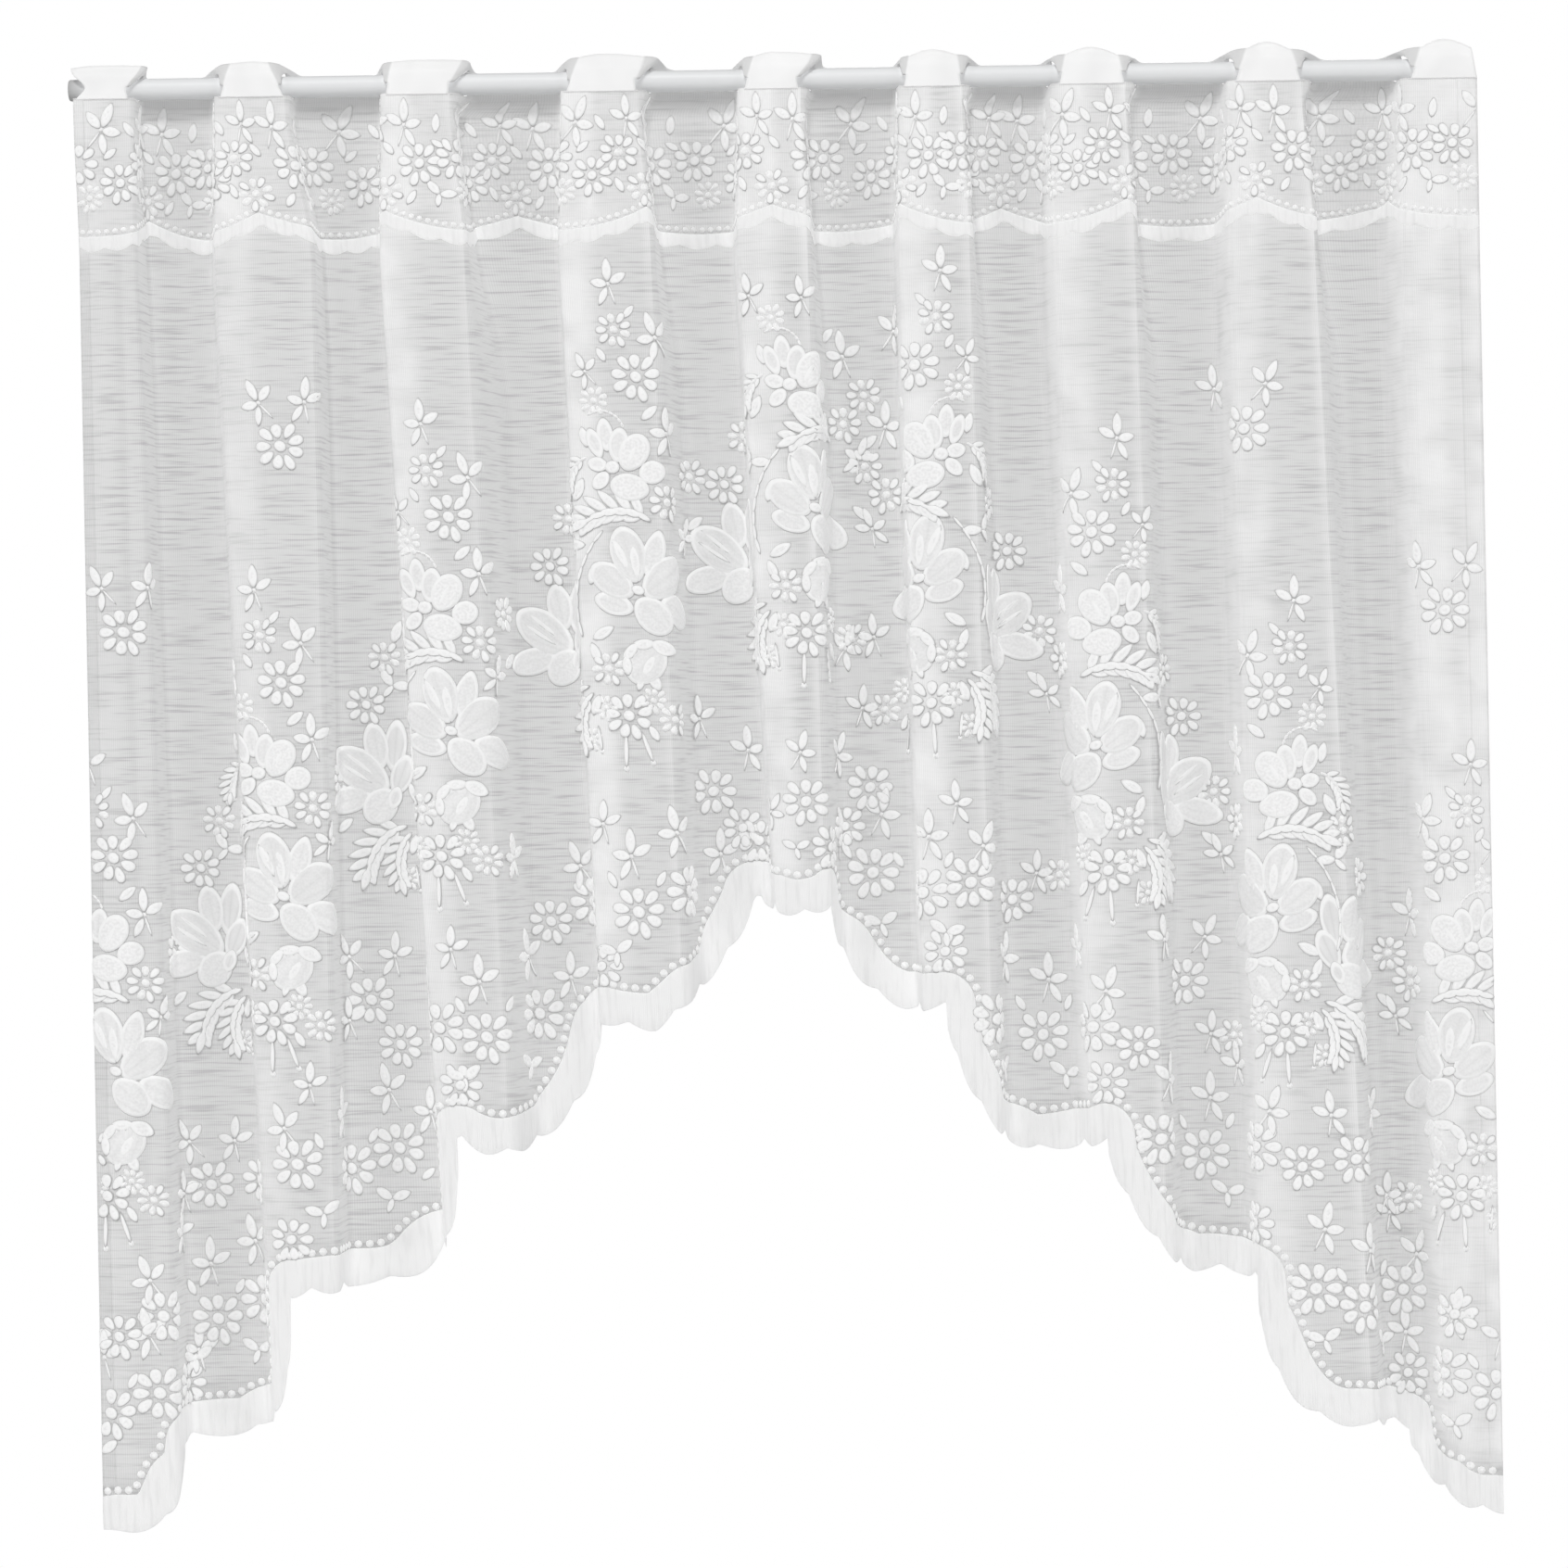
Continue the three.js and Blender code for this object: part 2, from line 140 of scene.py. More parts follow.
# How finely the cloth is divided.
ARC_STEPS = 6
STRAIGHT_SHARES = (0.25, 0.5, 0.75)
FACE_STEPS = 20
RECESS_STEPS = 24
HANG_ROWS = 240
NET_ROWS = 60
NET_ROWS_CLOSER = 1.5


def blend(start, end, share):
    return start + (end - start) * share


def ease(share):
    held = np.clip(share, 0, 1)
    return held * held * (3 - 2 * held)


def edge_at(tab, band, foot, z):
    """An edge of a fold's face at heights z, from its places at the tab, the band and the foot."""
    upper = blend(tab, band, ease((LACE_TOP - z) / (LACE_TOP - BAND_FOOT)))
    lower = blend(band, foot, (BAND_FOOT - z) / (BAND_FOOT - FOOT))
    return np.where(z > BAND_FOOT, upper, lower)


SidePoint = namedtuple("SidePoint", "along back cloth")


def side_of(depth, turn_degrees, corner):
    """One side of a fold, from the edge of its face to the recess beside it."""
    turn = np.radians(turn_degrees)
    straight = (depth - 2 * corner * (1 - np.cos(turn))) / np.sin(turn)
    level = np.zeros_like(depth)
    arc = []
    for k in range(ARC_STEPS + 1):
        angle = turn * k / ARC_STEPS
        along, back = corner * np.sin(angle), corner * (1 - np.cos(angle))
        arc.append(SidePoint(level + along, level + back, level + corner * angle))
    run = []
    for share in STRAIGHT_SHARES:
        length = share * straight
        along, back = length * np.cos(turn), length * np.sin(turn)
        run.append(SidePoint(arc[-1].along + along, arc[-1].back + back, arc[-1].cloth + length))
    middle = run[len(run) // 2]
    turned = [SidePoint(*(2 * m - p for m, p in zip(middle, point))) for point in reversed(arc)]
    return arc + run + turned


Column = namedtuple("Column", "x y cloth fold front on_side dense", defaults=(0,))


def section(z):
    """The cloth at heights z as columns from its left edge to its right edge."""
    settled = ease((LACE_TOP - z) / (LACE_TOP - BAND_FOOT))
    back_y = blend(BACK_AT_ROD, BACK_BELOW, settled)
    below_rod = ease((LACE_TOP - z) / (LACE_TOP - UPRIGHT_FROM))
    upright = below_rod * ease((z - LOOSE_FROM) / (UPRIGHT_TO - LOOSE_FROM))
    level = np.zeros_like(z)
    cloth = level
    columns = []
    for i, fold in enumerate(FOLDS):
        left = edge_at(fold.tab_left, fold.band_left, fold.foot_left, z)
        right = edge_at(fold.tab_right, fold.band_right, fold.foot_right, z)
        face_y = blend(FACE_AT_ROD, FACE_BELOW - fold.stand, settled)
        depth = back_y - face_y
        if i > 0:
            side = side_of(depth, fold.left_turn, fold.left_round)[::-1]
            start = columns[-1].x
            gap = left - side[0].along - start
            for k in range(1, RECESS_STEPS + 1):
                share = k / RECESS_STEPS
                x = start + gap * share
                y = back_y + RECESS_BULGE * settled * math.sin(math.pi * share) ** 2
                columns.append(Column(x, y, cloth + gap * share, i, level, k == RECESS_STEPS))
            cloth = cloth + gap
            for before, point in zip(side, side[1:]):
                cloth = cloth + before.cloth - point.cloth
                front = 1 - point.back / depth
                y = face_y + point.back + SHOULDER_DEPTH * settled * front
                # A painted highlight on the fold's left side.
                dense = fold.left_dense * max(0, float(front[0])) ** LEFT_HIGHLIGHT_SOFTNESS
                columns.append(Column(left - point.along, y, cloth, i, front, True, dense))
        else:
            y = face_y + SHOULDER_DEPTH * settled
            columns.append(Column(left, y, cloth, i, level + 1, False, fold.left_dense))
        for k in range(1, FACE_STEPS + 1):
            share = k / FACE_STEPS
            shoulder = np.clip(1 - (right - left) * share / SHOULDER_WIDTH, 0, 1) ** 2
            y = face_y + settled * (SHOULDER_DEPTH * shoulder - FACE_BULGE * math.sin(math.pi * share) ** 2)
            x = blend(left, right, share)
            # A painted highlight along both edges of the face, wider on the left.
            from_left = float(x[0] - left[0]) / LEFT_HIGHLIGHT_WIDTH
            from_right = float(right[0] - x[0]) / fold.right_reach
            dense = fold.left_dense * math.exp(-from_left**4) + fold.right_dense * math.exp(-from_right**2)
            columns.append(Column(x, y, cloth + (right - left) * share, i, level + 1, False, dense))
        cloth = cloth + right - left
        if i < len(FOLDS) - 1:
            turn = blend(fold.right_turn, UPRIGHT_TURN, upright)
            side = side_of(depth, turn, blend(fold.right_round, UPRIGHT_ROUND, upright))
            for before, point in zip(side, side[1:]):
                cloth = cloth + point.cloth - before.cloth
                front = 1 - point.back / depth
                columns.append(Column(right + point.along, face_y + point.back, cloth, i, front, True))
    return columns


HEIGHTS = np.linspace(LACE_TOP, LOWEST, HANG_ROWS)
HUNG_COLUMNS = section(HEIGHTS)
HUNG_X = np.stack([column.x for column in HUNG_COLUMNS], axis=1)
HUNG_Y = np.stack([column.y for column in HUNG_COLUMNS], axis=1)
HUNG_CLOTH = np.stack([column.cloth for column in HUNG_COLUMNS], axis=1)
LEVEL_COLUMNS = section(np.array([float(FLAT_LEVEL)]))
FLAT = np.array([column.cloth[0] for column in LEVEL_COLUMNS])
CLOTH_WIDTH = FLAT[-1]
PAINTED_HIGHLIGHT = np.array([column.dense for column in LEVEL_COLUMNS])
FRONT = np.clip([column.front[0] for column in LEVEL_COLUMNS], 0, 1)


def hung_row(z):
    """How far down the rows of hung places the heights z are."""
    return np.interp(-np.asarray(z, float), -HEIGHTS, np.arange(HANG_ROWS))


def cloth_row(z):
    """The row of hung places that is nearest to the height z."""
    return int(np.rint(hung_row(z)))


def flat_place(x, z):
    """The flat place of the point that hangs at x and z."""
    row = hung_row(z)
    above = min(int(row), HANG_ROWS - 2)
    places = blend(HUNG_X[above], HUNG_X[above + 1], row - above)
    return float(np.interp(x, places, FLAT))


# Soft creases that run down the cloth: where each hangs, how deep and how wide it is, and its ends.
Crease = namedtuple("Crease", "x z depth width top bottom")
CREASE_FADE = 80
CREASES = [
    Crease(-322, -200, 1.6, 2.5, -105, -560),
    Crease(-400, -300, 1.2, 3, -60, -780),
    Crease(-216, -320, -1.2, 7, -150, -620),
    Crease(-104, -330, 1.2, 6, -140, -540),
    Crease(196, -330, 1.1, 7, -150, -600),
    Crease(303, -380, 1.3, 8, -150, -690),
    Crease(412, -420, 1.2, 6, -120, -800),
    Crease(-160, -300, 1.4, 9, -120, -600),
    Crease(60, -300, 1.2, 8, -120, -500),
    Crease(255, -400, -1.6, 9, -160, -680),
    Crease(365, -480, 1.5, 9, -180, -780),
]
for crease in CREASES:
    across = np.exp(-((FLAT - flat_place(crease.x, crease.z)) / crease.width) ** 2)
    fade = ease((crease.top - HEIGHTS) / CREASE_FADE) * ease((HEIGHTS - crease.bottom) / CREASE_FADE)
    HUNG_Y += crease.depth * fade[:, None] * across[None, :]

RUN_X = np.gradient(HUNG_X, axis=1)
RUN_Y = np.gradient(HUNG_Y, axis=1)
RUN = np.hypot(RUN_X, RUN_Y)
OUT_X = RUN_Y / RUN
OUT_Y = -RUN_X / RUN


def hang(flat, z, lift=0.0):
    """The cloth's points, in metres, at flat places and heights, lifted off its middle towards its face."""
    flat, z, lift = np.broadcast_arrays(np.asarray(flat, float), z, lift)
    column = np.interp(flat, FLAT, np.arange(FLAT.size))
    row = hung_row(z)
    j = np.minimum(column.astype(int), FLAT.size - 2)
    i = np.minimum(row.astype(int), HANG_ROWS - 2)

    def between(grid):
        upper = blend(grid[i, j], grid[i, j + 1], column - j)
        lower = blend(grid[i + 1, j], grid[i + 1, j + 1], column - j)
        return blend(upper, lower, row - i)

    out_x = between(OUT_X)
    out_y = between(OUT_Y)
    size = np.hypot(out_x, out_y)
    x = between(HUNG_X) + lift * out_x / size
    y = between(HUNG_Y) + lift * out_y / size
    return np.stack([x, y, z], axis=-1) * MM


CUSP_PLACES = [flat_place(cusp.x, cusp.z) for cusp in CUSPS]


def scallop_line(flat):
    """The heights of the line that the hem's scallops follow, at flat places."""
    which = np.clip(np.searchsorted(CUSP_PLACES, flat) - 1, 0, len(LOWS) - 1)
    low = np.array(LOWS)[which]
    x = hang(flat, low[:, 1])[:, 0] / MM
    on_left = x < low[:, 0]
    end = np.array(CUSPS)[which + np.where(on_left, 0, 1)]
    share = np.minimum(1, np.abs((x - low[:, 0]) / (end[:, 0] - low[:, 0])))
    steep = (which == MIDDLE_SCALLOP) | ((which < MIDDLE_SCALLOP) != on_left)
    full = 1 - (1 - share ** low[:, 2]) ** (1 / low[:, 2])
    return blend(low[:, 1], end[:, 1], np.where(steep, full, share * share))


# The edge of the hem without its picots, and the line of beads that keeps the border's width away from it.
EDGE_STEP = 0.5
EDGE_FLAT = np.arange(0, CLOTH_WIDTH + EDGE_STEP, EDGE_STEP)
EDGE_Z = scallop_line(EDGE_FLAT) - SCALLOP_DROP
EDGE_ALONG = np.concatenate([[0], np.cumsum(np.hypot(EDGE_STEP, np.diff(EDGE_Z)))])
HEM_Z = EDGE_Z - PICOT_DEPTH * np.abs(np.sin(np.pi * EDGE_ALONG / PICOT_PITCH))


def line_inside(width):
    """The line that keeps a width away from the hem's edge, as heights at the edge's flat places."""
    reach = np.arange(-width, width + EDGE_STEP, EDGE_STEP)
    rise = np.sqrt(np.maximum(0, width**2 - reach**2))
    return np.max([np.interp(EDGE_FLAT + d, EDGE_FLAT, EDGE_Z) + up for d, up in zip(reach, rise)], axis=0)


BEAD_Z = line_inside(BORDER_WIDTH)
BORDER_TOP = line_inside(BORDER_WIDTH - BEAD_GAP)


def bead_line(flat):
    return np.interp(flat, EDGE_FLAT, BEAD_Z)


# The header band ends in a scalloped border of its own: where its scallops meet, as the cloth hangs.
BAND_CUSPS = [-390, -318.7, -240.6, -162, -81, -4, 74.6, 137.8, 212.5, 292.3, 376.7]
BAND_CUSP_Z = -76
BAND_SAG = 13
BAND_BORDER_WIDTH = 7.5
BAND_PICOT_DEPTH = 2.6
BAND_PICOT_PITCH = 18
BAND_ROW = cloth_row(BAND_LEVEL)
BAND_PLACES = np.array([flat_place(x, BAND_CUSP_Z) for x in BAND_CUSPS])
BAND_PITCH = float(np.mean(np.diff(BAND_PLACES)))
BAND_PLACES = np.concatenate([[BAND_PLACES[0] - BAND_PITCH], BAND_PLACES, [BAND_PLACES[-1] + BAND_PITCH]])


def band_line(flat):
    """The heights of the header band's line of beads at flat places."""
    which = np.clip(np.searchsorted(BAND_PLACES, flat) - 1, 0, BAND_PLACES.size - 2)
    share = (flat - BAND_PLACES[which]) / (BAND_PLACES[which + 1] - BAND_PLACES[which])
    return BAND_CUSP_Z - BAND_SAG * (1 - (2 * share - 1) ** 2)


# Meshes.


def add_piece(name, points, faces, material, flat_map, petal_map=None, values=None):
    """A smooth piece on the one body, mapped by the cloth's flat places and by each petal's own places."""
    mesh = bpy.data.meshes.new(name)
    mesh.from_pydata(points.tolist(), [], faces.tolist())
    corners = np.empty(len(mesh.loops), dtype=np.int32)
    mesh.loops.foreach_get("vertex_index", corners)
    mesh.uv_layers.new(name="Flat").data.foreach_set("uv", flat_map[corners].ravel())
    if petal_map is not None:
        mesh.uv_layers.new(name="Petal").data.foreach_set("uv", petal_map[corners].ravel())
    for label, value in (values or {}).items():
        mesh.attributes.new(label, "FLOAT", "POINT").data.foreach_set("value", value)
    mesh.shade_smooth()
    mesh.materials.append(material)
    piece = bpy.data.objects.new(name, mesh)
    bpy.context.scene.collection.objects.link(piece)
    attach(piece, "root")
    return piece


def grid_quads(rows, columns):
    """The faces between the points of a grid."""
    above = (np.arange(rows - 1)[:, None] * columns + np.arange(columns - 1)[None, :]).ravel()
    return np.stack([above, above + columns, above + columns + 1, above + 1], axis=1)


def ring_faces(inner, outer, spokes):
    """The triangles between two rings of points, from the first point of each."""
    step = np.arange(spokes)
    after = (step + 1) % spokes
    return [
        np.stack([inner + step, outer + step, outer + after], axis=1),
        np.stack([inner + step, outer + after, inner + after], axis=1),
    ]


def fan_faces(middle, ring, spokes):
    """The triangles between a middle point and a ring of points."""
    step = np.arange(spokes)
    return np.stack([0 * step + middle, ring + step, ring + (step + 1) % spokes], axis=1)


def closed_faces(quads, count):
    """The faces of a closed sheet from the quads of its face, with the same points again on its back."""
    starts = quads.ravel()
    ends = np.roll(quads, -1, axis=1).ravel()
    open_edge = ~np.isin(starts * count + ends, ends * count + starts)
    rim = np.stack([ends, starts, starts + count, ends + count], axis=1)[open_edge]
    return np.concatenate([quads, quads[:, ::-1] + count, rim])


# A painted highlight makes the net brighter and more opaque on the faces of the header band. In the recesses
# a painted shadow of the rod makes it darker and more opaque just under the rod.
BAND_HIGHLIGHT = 0.4
BAND_HIGHLIGHT_FADE = 20
PAINTED_ROD_SHADOW = 0.8
PAINTED_ROD_SHADOW_FOOT = -16
PAINTED_ROD_SHADOW_FADE = 8


def lace_sheet(name, flat, z, half, material):
    """A closed sheet of lace over a grid of flat places and heights, from half of its thickness."""
    rows, columns = z.shape
    flat = np.broadcast_to(flat, z.shape)
    lift = np.broadcast_to(half, z.shape)
    points = np.concatenate([hang(flat, z, lift).reshape(-1, 3), hang(flat, z, -lift).reshape(-1, 3)])
    flat_map = np.tile(np.stack([flat.ravel(), z.ravel()], axis=1), (2, 1)) * MM
    faces = closed_faces(grid_quads(rows, columns), rows * columns)
    front = np.interp(flat, FLAT, FRONT)
    # A painted highlight on the faces of the header band, added to that along the folds' edges.
    band_highlight = BAND_HIGHLIGHT * ease((z - BAND_FOOT) / BAND_HIGHLIGHT_FADE) * front
    dense = np.minimum(1, np.interp(flat, FLAT, PAINTED_HIGHLIGHT) + band_highlight)
    # A painted shadow of the rod, on the net in the recesses just under it.
    under = PAINTED_ROD_SHADOW * ease((z - PAINTED_ROD_SHADOW_FOOT) / PAINTED_ROD_SHADOW_FADE) * (1 - front)
    values = {"dense": np.tile(dense.ravel(), 2), "under": np.tile(under.ravel(), 2)}
    return add_piece(name, points, faces, material, flat_map, values=values)


# Woven figures. Every petal, leaf, stem and bead is a low pad that shows on both sides of the net.
# A pad's place is how far it is along the cloth from its left side, at one row of hung places.
Pad = namedtuple("Pad", "place row z half_length half_width turn taper point height fill")
PadGrade = namedtuple("PadGrade", "rings spokes roundness")
SMALL_PAD = PadGrade(np.array([0.7, 1.0]), 8, 2.5)
MIDDLE_PAD = PadGrade(np.array([0.6, 0.95, 1.0]), 10, 30)
WIDE_PAD = PadGrade(np.array([0.26, 0.5, 0.73, 0.93, 1.0]), 28, 30)
SMALL_LENGTH = 3.8
SMALL_WIDTH = 2.9
WIDE_WIDTH = 4.5
OUTLINE_WIDTH = 0.48
THIN_OUTLINE = 0.22
SMALL_OUTLINE = 0.08
SIDE_PLAIN = 0.9
# How much painted shade the pads in the recesses get.
RECESS_SHADE = 0.1


def grade_of(pad):
    """How finely a pad is divided."""
    if pad.half_length < SMALL_LENGTH and pad.half_width < SMALL_WIDTH:
        return SMALL_PAD
    return WIDE_PAD if pad.half_width > WIDE_WIDTH else MIDDLE_PAD


def pad_points(pads, grade, recess_shade):
    """The points, faces, maps and values of many pads at once."""
    rings, spokes, roundness = grade
    pad = Pad(*np.array(pads, dtype=float).T[:, :, None])
    angle = np.arange(spokes) * 2 * np.pi / spokes
    p = np.concatenate([[0], np.outer(rings, np.cos(angle)).ravel()])
    q = np.concatenate([[0], np.outer(rings, np.sin(angle)).ravel()])
    dome = np.concatenate([[1], np.repeat(np.sqrt(1 - rings**roundness), spokes)])
    along = pad.half_length * p
    across = pad.half_width * q * (1 + pad.taper * p) * (1 - pad.point * p**2)
    cos, sin = np.cos(pad.turn), np.sin(pad.turn)
    place = pad.place + along * cos - across * sin
    flat = np.empty_like(place)
    for row in np.unique(pad.row).astype(int):
        in_row = pad.row[:, 0] == row
        flat[in_row] = np.interp(place[in_row], HUNG_CLOTH[row], FLAT)
    z = pad.z + along * sin + across * cos
    lift = pad.height * dome
    count = p.size
    inner = count - spokes
    back_points = hang(flat[:, :inner], z[:, :inner], -lift[:, :inner])
    points = np.concatenate([hang(flat, z, lift), back_points], axis=1)
    face = [fan_faces(0, 1, spokes)]
    for k in range(len(rings) - 1):
        face += ring_faces(1 + k * spokes, 1 + (k + 1) * spokes, spokes)
    face = np.concatenate(face)
    back = np.where(face[:, ::-1] < inner, face[:, ::-1] + count, face[:, ::-1])
    one_pad = np.concatenate([face, back])
    faces = (one_pad[None] + (count + inner) * np.arange(len(pads))[:, None, None]).reshape(-1, 3)

    def both(values):
        values = np.broadcast_to(values, flat.shape)
        return np.concatenate([values, values[:, :inner]], axis=1)

    flat_map = np.stack([both(flat), both(z)], axis=-1).reshape(-1, 2) * MM
    petal_map = np.stack([both(p), both(q)], axis=-1).reshape(-1, 2)
    front = np.interp(flat, FLAT, FRONT)
    outline = np.minimum(THIN_OUTLINE, OUTLINE_WIDTH / pad.half_width)
    if grade is SMALL_PAD:
        outline = SMALL_OUTLINE
    outline = both(outline * (1 - SIDE_PLAIN * 4 * front * (1 - front)))
    # Painted shade on the pads in the recesses.
    shade = both(recess_shade * (1 - front))
    values = [both(pad.fill).ravel(), outline.ravel(), shade.ravel()]
    return points.reshape(-1, 3), faces, flat_map, petal_map, *values


def padded_figures(name, pads, material, recess_shade=RECESS_SHADE):
    """One piece from a list of pads. The wide ones are more finely divided, and those in the recesses get
    painted shade.
    """
    parts = []
    count = 0
    for grade in (SMALL_PAD, MIDDLE_PAD, WIDE_PAD):
        alike = [pad for pad in pads if grade_of(pad) is grade]
        if alike:
            points, faces, *maps = pad_points(alike, grade, recess_shade)
            parts.append([points, faces + count, *maps])
            count += len(points)
    points, faces, flat_map, petal_map, *values = (np.concatenate(group) for group in zip(*parts))
    values = dict(zip(("fill", "outline", "shade"), values))
    return add_piece(name, points, faces, material, flat_map, petal_map, values)


# Each kind of figure as its petals, in units of its size: where the middle of each is, half its length and
# half its width, how far it is turned, how much it widens outwards (taper), how pointed it is, and how
# densely it is filled.
Petal = namedtuple("Petal", "across up half_length half_width turn taper point fill", defaults=(0, 0, 1))


def on_ray(degrees, reach):
    """The place at a reach from the middle, in the direction of an angle."""
    return reach * math.cos(math.radians(degrees)), reach * math.sin(math.radians(degrees))


def daisy_petals(count=9, waver=2.4, reach=0.66, half_length=0.34, half_width=0.21):
    """A small flower whose stubby petals differ a little in length, width and spacing."""
    petals = []
    for k in range(count):
        patchy_highlight = math.sin(waver * k)
        turn = 360 * k / count + 1.5 * patchy_highlight
        across, up = on_ray(turn, reach + 0.05 * patchy_highlight)
        length, width = half_length + 0.03 * patchy_highlight, half_width - 0.015 * patchy_highlight
        petals.append(Petal(across, up, length, width, turn, 0.3))
    return petals + [Petal(0, 0, 0.26, 0.23, 35)]


LEAF_TIP = (-0.1, 0.35)
SPRIG_TIP = (-0.1, 0.34)
OUTER_LOBE = 0.19
INNER_LOBE = 0.165
LOBE_WIDTH = 0.062
LOBE_TURN = 36


def fern_petals(steps=6, bend=-56, length=0.8):
    """A curved leaf with a thin body and pointed lobes along both of its edges, longer on the outer one."""
    lobes, body = [], []
    across, up = 0.0, 0.0
    for k in range(steps):
        share = k / (steps - 1)
        turn = bend * (share - 0.3)
        step = on_ray(turn, length / steps)
        across += step[0]
        up += step[1]
        full = math.sin(math.pi * (0.25 + 0.6 * share))
        body.append(Petal(across, up, 0.12, 0.055 * full, turn, 0, 0.1, 0.8))
        for lobe, size in ((turn + LOBE_TURN, OUTER_LOBE), (turn - LOBE_TURN, INNER_LOBE)):
            size *= 0.4 + 0.6 * full
            ahead = on_ray(lobe, size)
            lobes.append(Petal(across + ahead[0], up + ahead[1], size, LOBE_WIDTH, lobe, *LEAF_TIP, 0.85))
    return lobes + body + [Petal(across + step[0], up + step[1], 0.16, 0.06, turn, *LEAF_TIP)]


def stem_petals(half_width, bend, steps=8):
    """A thin curved stem from short lengths that lap over each other."""
    petals = []
    across, up = 0.0, 0.0
    for k in range(steps):
        turn = bend * (k / steps - 0.5)
        half = on_ray(turn, 0.5 / steps)
        petals.append(Petal(across + half[0], up + half[1], 0.66 / steps, half_width, turn))
        across += 2 * half[0]
        up += 2 * half[1]
    return petals


FIGURES = {
    "daisy": daisy_petals(),
    "fern": fern_petals(),
    "arch": stem_petals(0.034, -110),
    "stem": stem_petals(0.014, -60),
    "leaf": [Petal(0, 0, 1, 0.46, 90, *LEAF_TIP, 0.75), Petal(0, 0, 0.7, 0.06, 90)],
    "knob": [Petal(0, 0.45, 0.6, 0.075, 90), Petal(0, -0.12, 0.12, 0.1, 90)],
    "sprig": [
        Petal(-5.6, 4.2, 6.2, 3.2, 142, *SPRIG_TIP),
        Petal(5.8, 0, 5.6, 3.2, 6, *SPRIG_TIP),
        Petal(-2.8, -6.4, 6.6, 0.7, -114),
        Petal(2.6, -7.8, 6.6, 2.6, -70, *SPRIG_TIP),
        Petal(1.4, 8.6, 7.8, 3.2, 82, *SPRIG_TIP),
        Petal(0, 0, 1.6, 1.2, 60),
    ],
    "leaf_pair": [
        Petal(-4.8, 2, 5.8, 3, 152, 0, 0.32),
        Petal(4.6, 1.8, 5.6, 3, 28, 0, 0.32),
        Petal(0.6, -4.2, 4.6, 2, -76, 0, 0.32),
    ],
    "open_bloom": [
        Petal(-26.4, -16, 15.4, 9.8, 28, -0.05, 0.1, 0.5),
        Petal(15.6, -10.4, 13, 7.2, 20, 0, 0.1, 0.5),
        Petal(-8.2, -18.4, 14.6, 10.4, 46, -0.05, 0.1, 0.55),
        Petal(-10, 19.6, 15.6, 7.4, 106, -0.05, 0.25, 0.6),
        Petal(-16.4, 4.6, 17.4, 11.8, 142, 0.08, 0.12, 0.4),
        Petal(16, 3.8, 16, 9.8, 38, 0.06, 0.12, 0.45),
        Petal(5.4, 19.4, 18.4, 11, 76, 0.12, 0.15, 0.4),
        Petal(1.6, 15, 13, 3.6, 84, 0.1, 0.25, 0.85),
        Petal(10, 19.4, 12, 3, 66, 0.1, 0.25, 0.9),
        Petal(0.6, -2.4, 4.4, 3.2, 24, 0, 0, 0.9),
    ],
    "side_bloom": [
        Petal(-9, 20, 17.4, 7.6, 98, 0.1, 0.15, 0.15),
        Petal(-12, 2, 14, 7.4, 112, 0.1, 0.15, 0.15),
        Petal(3.4, 20.4, 15.4, 8.4, 80, 0.06, 0.12, 0.45),
        Petal(22.4, -13, 16.6, 8.8, -14, 0, 0.12, 0.55),
        Petal(13.8, 5.4, 21.4, 12.6, 36, 0.08, 0.15, 0.4),
        Petal(14.6, 9.6, 14, 1.7, 39, 0, 0.3, 0.95),
        Petal(17, 4, 13.4, 1.6, 34, 0, 0.3, 0.95),
        Petal(2.4, -17, 13, 10.6, -50, 0, 0.08, 0.65),
        Petal(-7, -12, 8, 4.6, -70, 0, 0.2, 0.3),
    ],
    "bud": [
        Petal(-5.4, -11.6, 6.4, 3.8, 62, 0, 0.3, 0.8),
        Petal(3.4, -12, 5.6, 2.6, 110, 0, 0.3, 0.8),
        Petal(-0.4, 0, 15, 12.4, -52, -0.08, 0.05, 0.5),
        Petal(-2, -1.4, 8.6, 3.4, -58, 0, 0.25, 0.9),
        Petal(-11.4, 9, 8.4, 4.8, 25, 0, 0.25, 0.85),
        Petal(0.6, 11.4, 7.6, 3.6, -4, 0, 0.1),
        Petal(8.6, 7, 7, 3.4, -50, 0, 0.1),
        Petal(11, -1.4, 6.6, 3.2, -94, 0, 0.1),
    ],
    "rose": [
        Petal(3.6, 20, 11, 5.4, 84, 0.05, 0.15, 0.6),
        Petal(10, 15, 10.4, 4.8, 70, 0.05, 0.2, 0.5),
        Petal(-4.4, 13.4, 11.4, 6.6, 98, 0.08, 0.12, 0.5),
        Petal(9, 2, 6.6, 4.8, 14, 0, 0.1, 0.8),
        Petal(7.4, -8, 7, 4.8, -46, 0, 0.1, 0.8),
        Petal(-24, -3.6, 8.6, 7.6, 165, 0.05, 0.05, 0.9),
        Petal(-10, -12.6, 12.6, 8.8, 12, 0.06, 0.08, 0.9),
        Petal(-13.4, 8.8, 12.8, 9.4, 120, 0.1, 0.06, 0.85),
        Petal(-12, 7.4, 8.4, 1.7, 120, 0, 0.25, 1),
        Petal(0, 0, 4.8, 4.3, 0, 0, 0, 0.9),
    ],
}

# How far a petal stays from the cloth's sides, and how far it stands off the cloth: more for each petal that
# lies over another in its figure, and for each figure in its group. A figure's middle may hang a little past
# the sides of the cloth's top.
SIDE_MARGIN = 2
FIGURE_HEIGHT = 0.62
OVERLAP_HEIGHT = 0.05
LAYER_HEIGHT = 0.012
PAST_LEFT_SIDE = 4
PAST_RIGHT_SIDE = 6
Spot = namedtuple("Spot", "place row z hand")


